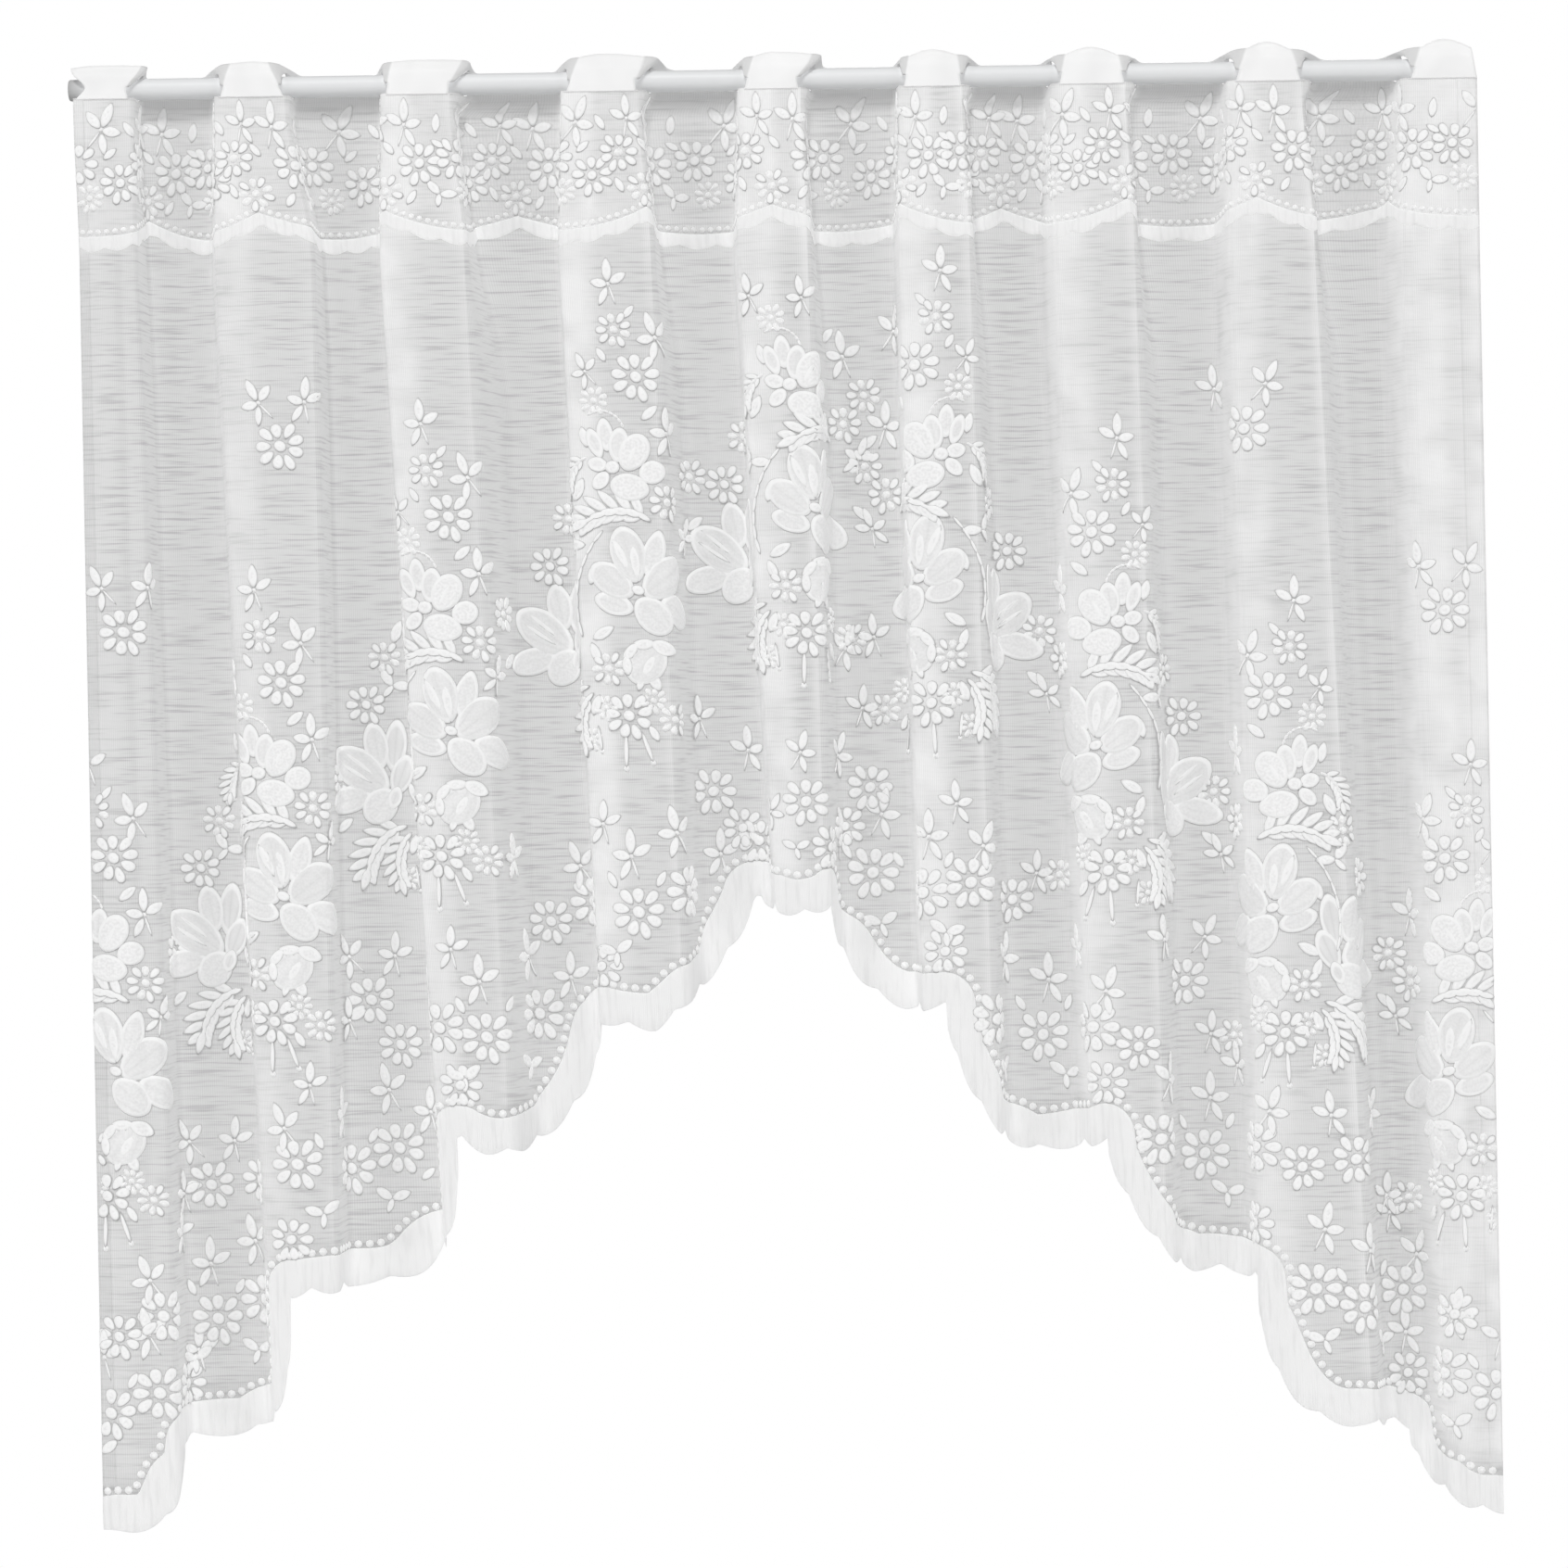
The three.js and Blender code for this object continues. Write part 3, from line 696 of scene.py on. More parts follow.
def figure_pads(kind, spot, size, degrees, layer=0):
    """The pads of one figure at a spot on the cloth, whose hand is 1, or -1 for its mirror image."""
    turned = math.radians(degrees)
    pads = []
    for k, petal in enumerate(FIGURES[kind]):
        across = size * (petal.across * math.cos(turned) - petal.up * math.sin(turned))
        up = size * (petal.across * math.sin(turned) + petal.up * math.cos(turned))
        place = spot.place + spot.hand * across
        if not SIDE_MARGIN < place < HUNG_CLOTH[spot.row, -1] - SIDE_MARGIN:
            continue
        turn = petal.turn + degrees
        pads.append(Pad(
            place, spot.row, spot.z + up, size * petal.half_length, size * petal.half_width,
            math.radians(turn if spot.hand > 0 else 180 - turn), petal.taper, petal.point,
            FIGURE_HEIGHT + OVERLAP_HEIGHT * k + LAYER_HEIGHT * layer, petal.fill,
        ))
    return pads


def spot_at(flat, z, hand=1):
    """The spot on the cloth at a flat place and a height."""
    row = cloth_row(z)
    return Spot(float(np.interp(flat, FLAT, HUNG_CLOTH[row])), row, z, hand)


def level_pad(flat, z, half_length, half_width, height):
    """One plain pad, unturned, at a flat place and a height."""
    spot = spot_at(flat, z)
    return Pad(spot.place, spot.row, z, half_length, half_width, 0, 0, 0, height, 1)


def hung_figure(kind, x, z, hand, size, degrees, low_margin, layer=0):
    """The pads of one figure that hangs at x and z, or none where that is off the cloth or in the border."""
    flat = flat_place(x, z)
    beside = x < HUNG_X[0, 0] - PAST_LEFT_SIDE or x > HUNG_X[0, -1] + PAST_RIGHT_SIDE
    if beside or z < bead_line(flat) + low_margin:
        return []
    return figure_pads(kind, spot_at(flat, z, hand), size, degrees, layer)


Item = namedtuple("Item", "kind across up size turn")

# One bouquet from its lower left bloom: where each figure is, how big, and how far turned. Its figures keep
# a margin from the hem's beads, as those of the other groups do.
BOUQUET_MARGIN = 14
BOUQUET = [
    Item("sprig", 16, 185, 1.0, 6),
    Item("leaf", 4, 168, 5.5, 40),
    Item("daisy", 13, 157, 11.5, 0),
    Item("sprig", -12, 152, 1.05, -10),
    Item("leaf", 21, 142, 5.5, -30),
    Item("daisy", 0, 128, 15.5, 10),
    Item("sprig", 31, 132, 0.8, -14),
    Item("daisy", 26, 114, 9.5, 0),
    Item("arch", 8, 97, 27, 14),
    Item("leaf", -8, 106, 7, 50),
    Item("sprig", -18, 93, 1.05, 6),
    Item("daisy", -31, 69, 11.5, 0),
    Item("leaf", 32, 92, 7, -14),
    Item("rose", 15, 73, 1.0, 0),
    Item("daisy", -18, 51, 12, 12),
    Item("fern", 30, 80, 30, -44),
    Item("leaf", 36, 60, 8, 24),
    Item("daisy", 44, 44, 11, 8),
    Item("fern", -9, 39, 52, 14),
    Item("leaf", -34, 40, 7, 50),
    Item("daisy", 56, 15, 13, 0),
    Item("sprig", -27, 30, 0.9, 30),
    Item("leaf_pair", 39, 27, 1.15, 30),
    Item("stem", 22, 34, 68, -80),
    Item("leaf", 28, 8, 7, 15),
    Item("side_bloom", 46, -31, 1.0, 0),
    Item("open_bloom", 0, 0, 1.0, 0),
    Item("leaf", 22, -28, 8, 60),
    Item("leaf", 27, -40, 7, -20),
    Item("bud", -3.3, -47, 1.0, 0),
    Item("daisy", 19, -50, 11, 0),
    Item("fern", 30, -60, 50, -34),
    Item("fern", 28, -64, 40, -62),
    Item("leaf", 27, -72, 7, 20),
    Item("daisy", -8, -70, 8.5, 20),
    Item("daisy", 21, -74, 8.5, 20),
    Item("daisy", 7, -79, 15, 8),
    Item("daisy", 31, -93, 8, 0),
    Item("sprig", -35, -81, 0.95, 4),
    Item("daisy", -21, -82, 10.5, 0),
    Item("leaf", -8, -90, 6, -30),
    Item("knob", -6.5, -106, 18, -18),
    Item("knob", 9, -109, 19, 2),
    Item("knob", 24, -99, 14, -6),
]
Anchor = namedtuple("Anchor", "x z hand")
BOUQUETS = [
    Anchor(82, -306, 1), Anchor(188.5, -410, 1), Anchor(295, -511, 1), Anchor(402, -613, 1),
    Anchor(-89, -311, -1), Anchor(-204.5, -395, -1), Anchor(-308.5, -494.5, -1), Anchor(-413, -600, -1),
]

# The spray at the top of the arch is a bouquet without its upper flowers. Around it are others, where they
# hang.
SPRAY_AT = Anchor(20, -262, -1)
SPRAY_TOP = 120
SPRAY = [item for item in BOUQUET if item.up < SPRAY_TOP] + [
    Item("sprig", 7, 126, 0.9, 0), Item("sprig", 39, 128, 0.9, 0),
]
AROUND_SPRAY_MARGIN = 8
AROUND_SPRAY = [
    Item("sprig", 37, -350, 1.0, -12),
    Item("daisy", -46, -437, 15, 0),
    Item("daisy", -28, -460, 13.5, 0),
    Item("daisy", 11, -444, 15, 10),
    Item("daisy", 51, -436, 15, 0),
    Item("daisy", 35, -460, 13.5, 0),
    Item("sprig", -24, -412, 1.0, 10),
    Item("sprig", -10, -450, 0.8, -20),
    Item("sprig", 8, -414, 0.9, -6),
    Item("sprig", 31, -416, 1.0, -12),
    Item("leaf_pair", 5, -472, 0.9, 0),
]

# Two sprigs over a daisy, scattered between the bouquets.
SCATTERED = [
    Item("sprig", -15, 27, 1.0, 14), Item("sprig", 13, 27, 1.0, -18), Item("daisy", 0, 0, 15.5, 0),
]
SCATTERED_AT = [
    Anchor(-307, -222, -1), Anchor(-405, -334, -1), Anchor(283, -220, 1), Anchor(404, -333, 1),
    Anchor(244, -559, 1), Anchor(344, -668, 1), Anchor(-260, -563, -1), Anchor(-361, -676, -1),
]

# The flowers in each scallop of the hem, from its lowest place.
HEM_MARGIN = 12
HEM_CLUSTER = [
    Item("sprig", -42, 80, 1.05, 10),
    Item("sprig", -16, 94, 1.1, -4),
    Item("sprig", 12, 80, 1.1, 8),
    Item("sprig", 45, 74, 1.05, -12),
    Item("daisy", -22, 58, 17, 0),
    Item("daisy", 8, 46, 16.5, 12),
    Item("daisy", 37, 52, 16.5, 0),
    Item("daisy", 64, 40, 14.5, 10),
    Item("sprig", 29, 100, 0.95, 12),
    Item("leaf_pair", -17, 27, 1.15, 8),
    Item("leaf_pair", 22, 22, 1.15, -10),
    Item("leaf", -6, 66, 6, 30),
    Item("leaf", 24, 66, 6, -24),
    Item("leaf", -40, 42, 6, 50),
]
CUSP_DAISY = 14
CUSP_DAISY_RISE = 9

# The flowers in each scallop of the header band, from the middle of the scallop, by height.
BAND_CLUSTER = [
    Item("sprig", -41, -26, 1.05, 8),
    Item("leaf", -18, -25, 6.5, -8),
    Item("sprig", 10, -26, 1.1, -14),
    Item("leaf", 27, -26, 6, 34),
    Item("sprig", 46, -24, 0.95, 12),
    Item("daisy", -31, -50, 14, 10),
    Item("daisy", -6, -47, 13.5, 0),
    Item("daisy", 21, -59, 13, 14),
    Item("daisy", 39, -45, 12.5, 4),
    Item("leaf_pair", -19, -69, 1.0, -25),
    Item("leaf", -37, -71, 5.5, -32),
    Item("leaf", 38, -65, 5.5, 24),
    Item("leaf", -52, -40, 5.5, 40),
    Item("leaf", 15, -41, 5.5, -50),
    Item("leaf", -18, -38, 5, 60),
    Item("daisy", 1, -68, 9.5, 8),
]
BAND_CUSP_DAISY = 11
BAND_CUSP_DAISY_TURN = 22
# The band's flowers get more painted shade in its recesses.
BAND_SHADE = 0.35

BeadRow = namedtuple("BeadRow", "pitch radius height")
HEM_BEADS = BeadRow(7.0, 2.75, 1.1)
BAND_BEADS = BeadRow(5.3, 2.05, 0.9)


def bead_pads(row, flat, z):
    """Round beads evenly along the hung line of flat places and heights."""
    lengths = np.linalg.norm(np.diff(hang(flat, z), axis=0), axis=1) / MM
    along = np.concatenate([[0], np.cumsum(lengths)])
    steps = np.arange(row.pitch / 2, along[-1], row.pitch)
    return [
        level_pad(s, h, row.radius, row.radius, row.height)
        for s, h in zip(np.interp(steps, along, flat), np.interp(steps, along, z))
    ]


# Finishes.


def node(tree, kind, inputs=None, **settings):
    """A node with its settings, and each input linked or set."""
    made = tree.nodes.new(kind)
    for name, value in settings.items():
        setattr(made, name, value)
    for socket, value in (inputs or {}).items():
        if isinstance(value, bpy.types.NodeSocket):
            tree.links.new(value, made.inputs[socket])
        else:
            made.inputs[socket].default_value = value
    return made


def maths(tree, operation, first, second=0.0, third=0.0):
    return node(tree, "ShaderNodeMath", {0: first, 1: second, 2: third}, operation=operation).outputs[0]


def spread(tree, value, from_low, from_high, to_low, to_high):
    return node(tree, "ShaderNodeMapRange", {
        "Value": value, "From Min": from_low, "From Max": from_high, "To Min": to_low, "To Max": to_high,
    }).outputs["Result"]


def mixed(tree, share, first, second):
    made = node(tree, "ShaderNodeMix", {"Factor": share, "A": first, "B": second}, data_type="RGBA")
    return made.outputs["Result"]


def noise(tree, place, scale, detail):
    made = node(tree, "ShaderNodeTexNoise", {"Vector": place, "Scale": scale, "Detail": detail})
    return made.outputs["Fac"]


def attribute(tree, name):
    return node(tree, "ShaderNodeAttribute", attribute_name=name).outputs["Fac"]


def grey(level, warmth=0.0):
    return (level * (1 + warmth), level, level * (1 - warmth), 1)


def new_group(name, inputs, outputs):
    """A node group, with the sockets that it is given and those of its result."""
    tree = bpy.data.node_groups.new(name, "ShaderNodeTree")
    for label, kind, value in inputs:
        socket = tree.interface.new_socket(label, in_out="INPUT", socket_type=kind)
        if value is not None:
            socket.default_value = value
    for label in outputs:
        tree.interface.new_socket(label, in_out="OUTPUT", socket_type="NodeSocketFloat")
    return tree, tree.nodes.new("NodeGroupInput").outputs, tree.nodes.new("NodeGroupOutput").inputs


def stretched(tree, place, scale):
    return node(tree, "ShaderNodeVectorMath", {0: place, 1: scale}, operation="MULTIPLY").outputs[0]


def threads_group():
    """Threads both ways, in a cloth's flat metres: the height of the weave and its slow unevenness."""
    tree, given, result = new_group(
        "Woven threads",
        [("Place", "NodeSocketVector", None), ("Across pitch", "NodeSocketFloat", 0.0008),
         ("Up pitch", "NodeSocketFloat", 0.0008)],
        ["Height", "Unevenness"],
    )
    parts = node(tree, "ShaderNodeSeparateXYZ", {"Vector": given["Place"]}).outputs
    ridges = []
    for axis, pitch in (("X", "Across pitch"), ("Y", "Up pitch")):
        turn = maths(tree, "DIVIDE", maths(tree, "MULTIPLY", parts[axis], math.pi), given[pitch])
        ridges.append(maths(tree, "ABSOLUTE", maths(tree, "SINE", turn)))
    tree.links.new(maths(tree, "MULTIPLY", maths(tree, "ADD", *ridges), 0.5), result["Height"])
    tree.links.new(noise(tree, given["Place"], 34.0, 1.0), result["Unevenness"])
    return tree


def streaks_group():
    """Short streaks across the cloth where its thread is drawn together, as a mask."""
    tree, given, result = new_group(
        "Drawn streaks",
        [("Place", "NodeSocketVector", None), ("Length", "NodeSocketFloat", 0.03),
         ("Thickness", "NodeSocketFloat", 0.002)],
        ["Streak"],
    )
    parts = node(tree, "ShaderNodeSeparateXYZ", {"Vector": given["Place"]}).outputs
    place = node(tree, "ShaderNodeCombineXYZ", {
        "X": maths(tree, "DIVIDE", parts["X"], given["Length"]),
        "Y": maths(tree, "DIVIDE", parts["Y"], given["Thickness"]),
    })
    drawn = noise(tree, place.outputs[0], 1.0, 2.0)
    tree.links.new(spread(tree, drawn, 0.5, 0.68, 0.0, 1.0), result["Streak"])
    return tree


THREADS = threads_group()
STREAKS = streaks_group()


def new_finish(name, roughness, sheen=0.0):
    """A material with its node tree and the inputs of its shader, where the constant values are set."""
    finish = bpy.data.materials.new(name)
    finish.use_nodes = True
    tree = finish.node_tree
    shader = tree.nodes["Principled BSDF"].inputs
    shader["Roughness"].default_value = roughness
    shader["Specular IOR Level"].default_value = 0.2
    shader["Sheen Weight"].default_value = sheen
    shader["Sheen Roughness"].default_value = 0.4
    return finish, tree, shader


def place_group(tree, group, inputs):
    return node(tree, "ShaderNodeGroup", inputs, node_tree=group).outputs


def woven_finish(name, roughness, sheen, across_pitch, up_pitch):
    """A new finish with the map of the cloth's flat places and with threads in it."""
    finish, tree, shader = new_finish(name, roughness, sheen)
    place = node(tree, "ShaderNodeUVMap", uv_map="Flat").outputs[0]
    inputs = {"Place": place, "Across pitch": across_pitch, "Up pitch": up_pitch}
    return finish, tree, shader, place, place_group(tree, THREADS, inputs)


def bump(tree, shader, height, strength, distance):
    made = node(tree, "ShaderNodeBump", {"Height": height, "Strength": strength, "Distance": distance})
    tree.links.new(made.outputs[0], shader["Normal"])


def net_finish():
    finish, tree, shader, place, threads = woven_finish("sheer_net", 0.95, 0.35, 0.0011, 0.0007)
    streak = place_group(tree, STREAKS, {"Place": place, "Length": 0.03, "Thickness": 0.0016})["Streak"]
    single = mixed(tree, streak, grey(0.645), grey(0.47))
    # A painted highlight: the net is brighter and more opaque along the folds' edges and on the band's
    # faces.
    dense = attribute(tree, "dense")
    patchy_highlight = maths(tree, "MULTIPLY", dense, spread(tree, threads["Unevenness"], 0.3, 0.6, 0.5, 1.0))
    colour = mixed(tree, patchy_highlight, single, grey(0.82))
    # A painted shadow of the rod: the net in the recesses is darker and more opaque just under the rod.
    under = attribute(tree, "under")
    with_painted_shade = mixed(tree, under, colour, grey(0.55))
    tree.links.new(with_painted_shade, shader["Base Color"])
    cover = spread(tree, threads["Height"], 0.2, 0.9, 0.5, 0.66)
    cover_in_rod_shadow = maths(tree, "MULTIPLY_ADD", under, 0.35, cover)
    tree.links.new(maths(tree, "ADD", cover_in_rod_shadow, maths(tree, "MULTIPLY", patchy_highlight, 0.2)), shader["Alpha"])
    bump(tree, shader, threads["Height"], 0.4, 0.0003)
    return finish


def border_finish():
    finish, tree, shader, place, threads = woven_finish("dense_border", 0.95, 0.25, 0.0012, 0.0006)
    streak = place_group(tree, STREAKS, {"Place": place, "Length": 0.0025, "Thickness": 0.03})["Streak"]
    colour = mixed(tree, maths(tree, "MULTIPLY", streak, 0.6), grey(0.86), grey(0.76))
    tree.links.new(colour, shader["Base Color"])
    bump(tree, shader, threads["Height"], 0.5, 0.0003)
    return finish


def flower_finish():
    """Woven petals and leaves: a thin dark outline, a bright rim, and a fill, more open in big petals."""
    finish, tree, shader, place, threads = woven_finish("woven_flowers", 0.95, 0.25, 0.001, 0.0006)
    petal = node(tree, "ShaderNodeUVMap", uv_map="Petal").outputs[0]
    out = node(tree, "ShaderNodeVectorMath", {0: petal}, operation="LENGTH").outputs["Value"]
    parts = node(tree, "ShaderNodeSeparateXYZ", {"Vector": petal}).outputs
    fill = attribute(tree, "fill")
    fan = maths(tree, "DIVIDE", parts["Y"], maths(tree, "ADD", parts["X"], 1.7))
    waves = maths(tree, "ABSOLUTE", maths(tree, "SINE", maths(tree, "MULTIPLY", fan, 9.0)))
    patchy = spread(tree, threads["Unevenness"], 0.3, 0.65, 0.4, 1.0)
    veins = maths(tree, "MULTIPLY", maths(tree, "POWER", waves, 0.5), patchy)
    open_fill = mixed(tree, veins, grey(0.66), grey(0.8))
    grain = noise(tree, place, 620.0, 0.0)
    full_fill = mixed(tree, spread(tree, grain, 0.3, 0.7, 0.0, 1.0), grey(0.82), grey(0.93))
    body = mixed(tree, fill, open_fill, full_fill)
    width = attribute(tree, "outline")
    inward = maths(tree, "DIVIDE", maths(tree, "SUBTRACT", 1.0, out), width)
    rim = spread(tree, inward, 4.0, 5.5, 1.0, 0.0)
    rimmed = mixed(tree, rim, body, grey(0.9))
    outline = spread(tree, inward, 0.5, 1.3, 1.0, 0.0)
    outlined = mixed(tree, outline, rimmed, grey(0.48))
    # Painted shade: the pads in the recesses are greyer and of lower contrast.
    shade = attribute(tree, "shade")
    shaded = mixed(tree, shade, outlined, grey(0.66))
    tree.links.new(shaded, shader["Base Color"])
    bump(tree, shader, threads["Height"], 0.5, 0.0003)
    return finish


def heading_finish():
    finish, tree, shader, place, threads = woven_finish("heading_weave", 0.9, 0.2, 0.0006, 0.0006)
    colour = mixed(tree, spread(tree, threads["Unevenness"], 0.35, 0.65, 0.0, 1.0), grey(0.84), grey(0.89))
    # Painted shade on the tabs' ears and the sides of the slits.
    side = attribute(tree, "side")
    shaded = mixed(tree, side, colour, grey(0.68))
    tree.links.new(shaded, shader["Base Color"])
    bump(tree, shader, threads["Height"], 0.4, 0.0002)
    return finish


def rod_finish():
    finish, tree, shader = new_finish("rod_paint", 0.38)
    shader["Specular IOR Level"].default_value = 0.15
    place = node(tree, "ShaderNodeTexCoord").outputs["Object"]
    speck = noise(tree, place, 900.0, 3.0)
    drawn = noise(tree, stretched(tree, place, (6.0, 240.0, 240.0)), 1.0, 2.0)
    colour = mixed(tree, drawn, grey(0.72, -0.01), grey(0.78, -0.01))
    # Painted shade at the rod's left end, inside the first tab's slit.
    painted_end_shade = attribute(tree, "painted_end_shade")
    with_painted_shade = mixed(tree, painted_end_shade, colour, grey(0.4))
    tree.links.new(with_painted_shade, shader["Base Color"])
    tree.links.new(spread(tree, drawn, 0.3, 0.7, 0.3, 0.45), shader["Roughness"])
    bump(tree, shader, speck, 0.15, 0.0002)
    return finish


def floor_finish():
    finish, tree, shader = new_finish("pale_floor", 0.8)
    place = node(tree, "ShaderNodeTexCoord").outputs["Object"]
    speck = noise(tree, place, 3.0, 3.0)
    colour = mixed(tree, speck, grey(0.78), grey(0.82))
    tree.links.new(colour, shader["Base Color"])
    return finish


# The cloth's pieces.
NET_HALF = 0.25
BORDER_HALF = 0.5
BORDER_EDGE_SHARE = 0.1
BORDER_UPPER_START = 0.4
BORDER_UPPER_RISE = 12
BORDER_LOWER_RISE = 8
BORDER_SHARES = np.array([0, 0.02, 0.07, 0.16, 0.3, 0.5, 0.7, 0.85, 0.94, 0.985, 1])[:, None]
LAP = 3
LAP_ABOVE = 1
NET_ROD_GAP = 7.3
HEADING_FACE_BOTTOM = -7.5
HEADING_BACK_BOTTOM = -4.2
BORDER_STEP = 1.4
BAND_BORDER_COLUMNS = 900

sheer_net = net_finish()
dense_border = border_finish()
woven_flowers = flower_finish()


def net_top(flat):
    """The heights of the net's upper edge, close under the rod, and higher before and behind it."""
    y = np.interp(flat, FLAT, HUNG_Y[0])
    under_rod = -np.sqrt(np.maximum(0, NET_ROD_GAP**2 - y**2))
    beside = np.where(y < 0, HEADING_FACE_BOTTOM, HEADING_BACK_BOTTOM) + LAP_ABOVE
    return np.minimum(under_rod, beside)


def make_net():
    share = np.linspace(0, 1, NET_ROWS)[:, None] ** NET_ROWS_CLOSER
    z = blend(net_top(FLAT), np.interp(FLAT, EDGE_FLAT, BORDER_TOP) - LAP, share)
    return lace_sheet("net", FLAT, z, NET_HALF, sheer_net)


def border_sheet(name, flat, upper, lower):
    """A border between two lines, which thins out at its upper edge and more at its lower edge."""
    from_top = np.minimum(1, BORDER_UPPER_RISE * BORDER_SHARES + BORDER_UPPER_START)
    from_foot = np.minimum(1, BORDER_LOWER_RISE * (1 - BORDER_SHARES))
    half = BORDER_HALF * blend(BORDER_EDGE_SHARE, 1, from_top * from_foot)
    return lace_sheet(name, flat, blend(upper, lower, BORDER_SHARES), half, dense_border)


def make_hem_border():
    along = np.arange(0, EDGE_ALONG[-1], BORDER_STEP)
    flat = np.append(np.interp(along, EDGE_ALONG, EDGE_FLAT), CLOTH_WIDTH)
    upper = np.interp(flat, EDGE_FLAT, BORDER_TOP)
    return border_sheet("hem_border", flat, upper, np.interp(flat, EDGE_FLAT, HEM_Z))


def make_band_border():
    flat = np.linspace(0, CLOTH_WIDTH, BAND_BORDER_COLUMNS)
    upper = band_line(flat) - BEAD_GAP
    picot = BAND_PICOT_DEPTH * np.abs(np.sin(np.pi * flat / BAND_PICOT_PITCH))
    return border_sheet("band_border", flat, upper, upper - BAND_BORDER_WIDTH - picot)


# The narrow hems down the two sides, thinner towards their edges.
SIDE_HEM_WIDTHS = (7, 12)
SIDE_HEM_HALF = 0.4
SIDE_HEM_THIN = 0.6
SIDE_HEM_EDGE = 0.08
SIDE_HEM_COLUMNS = 7
SIDE_HEM_ROWS = 160


def make_side_hem(name, start, end):
    across = np.linspace(0, 1, SIDE_HEM_COLUMNS)
    flat = blend(start, end, across)
    lower = np.interp(flat, EDGE_FLAT, BEAD_Z)
    z = blend(net_top(flat), lower, np.linspace(0, 1, SIDE_HEM_ROWS)[:, None])
    swell = np.sqrt(np.sin(np.pi * np.clip(across, SIDE_HEM_EDGE, 1 - SIDE_HEM_EDGE)))
    half = SIDE_HEM_HALF * blend(SIDE_HEM_THIN, 1, swell)
    return lace_sheet(name, flat, z, half, sheer_net)


def placed(items, anchor, low_margin):
    """The pads of a group of figures around an anchor on the hung cloth."""
    pads = []
    for layer, item in enumerate(items):
        x, z = anchor.x + anchor.hand * item.across, anchor.z + item.up
        pads += hung_figure(item.kind, x, z, anchor.hand, item.size, item.turn, low_margin, layer)
    return pads


def make_bouquets(name, hand):
    pads = []
    for anchor in BOUQUETS:
        if anchor.hand == hand:
            pads += placed(BOUQUET, anchor, BOUQUET_MARGIN)
    return padded_figures(name, pads, woven_flowers)


def make_spray():
    pads = placed(SPRAY, SPRAY_AT, BOUQUET_MARGIN)
    pads += placed(AROUND_SPRAY, Anchor(0, 0, 1), AROUND_SPRAY_MARGIN)
    return padded_figures("middle_spray", pads, woven_flowers)


def make_hem_flowers():
    pads = []
    for i, low in enumerate(LOWS):
        if i != MIDDLE_SCALLOP:
            pads += placed(HEM_CLUSTER, Anchor(low.x, low.z, 1 if i > MIDDLE_SCALLOP else -1), HEM_MARGIN)
    for cusp in CUSPS[1:-1]:
        pads += hung_figure("daisy", cusp.x, cusp.z + CUSP_DAISY_RISE, 1, CUSP_DAISY, 0, -HEM_MARGIN)
    for anchor in SCATTERED_AT:
        pads += placed(SCATTERED, anchor, HEM_MARGIN)
    return padded_figures("hem_flowers", pads, woven_flowers)


def make_band_flowers():
    pads = []
    places = np.interp(BAND_PLACES, FLAT, HUNG_CLOTH[BAND_ROW])
    pitch = np.mean(np.diff(places[1:-1]))
    places[[0, -1]] = places[1] - pitch, places[-2] + pitch
    for left, right in zip(places[:-1], places[1:]):
        for layer, item in enumerate(BAND_CLUSTER):
            place = (left + right) / 2 + item.across * (right - left) / BAND_PITCH
            pads += figure_pads(item.kind, Spot(place, BAND_ROW, item.up, 1), item.size, item.turn, layer)
    for place in places[1:-1]:
        spot = Spot(place, BAND_ROW, BAND_CUSP_Z + CUSP_DAISY_RISE, 1)
        pads += figure_pads("daisy", spot, BAND_CUSP_DAISY, BAND_CUSP_DAISY_TURN)
    flat = np.arange(0, CLOTH_WIDTH, EDGE_STEP)
    pads += bead_pads(BAND_BEADS, flat, band_line(flat))
    return padded_figures("band_flowers", pads, woven_flowers, BAND_SHADE)


def make_hem_beads():
    return padded_figures("hem_beads", bead_pads(HEM_BEADS, EDGE_FLAT, BEAD_Z), woven_flowers)


# The heading.
HEADING_HALF = 0.7
HEADING_BACK_TOP = 8.3
HEADING_BACK_RIM = 5
SLIT_RADIUS = 8.6
SLIT_LIP = 0.6
CROSSING_STRIP = 1.2
EAR_STANDING = 0.9
EAR_LYING = 1.6
EAR_SPREAD = 0.6
TAB_TILT_FROM = 6
TAB_TILT = 4
WAIST_HEIGHT = 6
SLIT_SHARE = 0.5
SLIT_SHARE_ROOM = 0.01
HEADING_UPPER_ROWS = 9
EAR_SHADE_SHARPNESS = 200
HEADING_LOWER_SHARES = np.linspace(0.12, 1, 9)


def tab_shift(tab, on_left, z):
    """How far the edge of a tab's face is shifted to the right at a height."""
    lean, waist = (tab.left_lean, tab.left_waist) if on_left else (tab.right_lean, tab.right_waist)
    up = max(0, (z - HEADING_FACE_BOTTOM) / (tab.rise - HEADING_FACE_BOTTOM))
    return lean * up + waist * math.exp(-((z / WAIST_HEIGHT) ** 2))


def tab_half(column):
    """Whether a column is on the left of its tab's middle, the edge of that half, and how far out it is."""
    fold = FOLDS[column.fold]
    middle = (fold.tab_left + fold.tab_right) / 2
    on_left = column.x[0] < middle
    edge = fold.tab_left if on_left else fold.tab_right
    return on_left, edge, min(1, abs((column.x[0] - middle) / (edge - middle)))


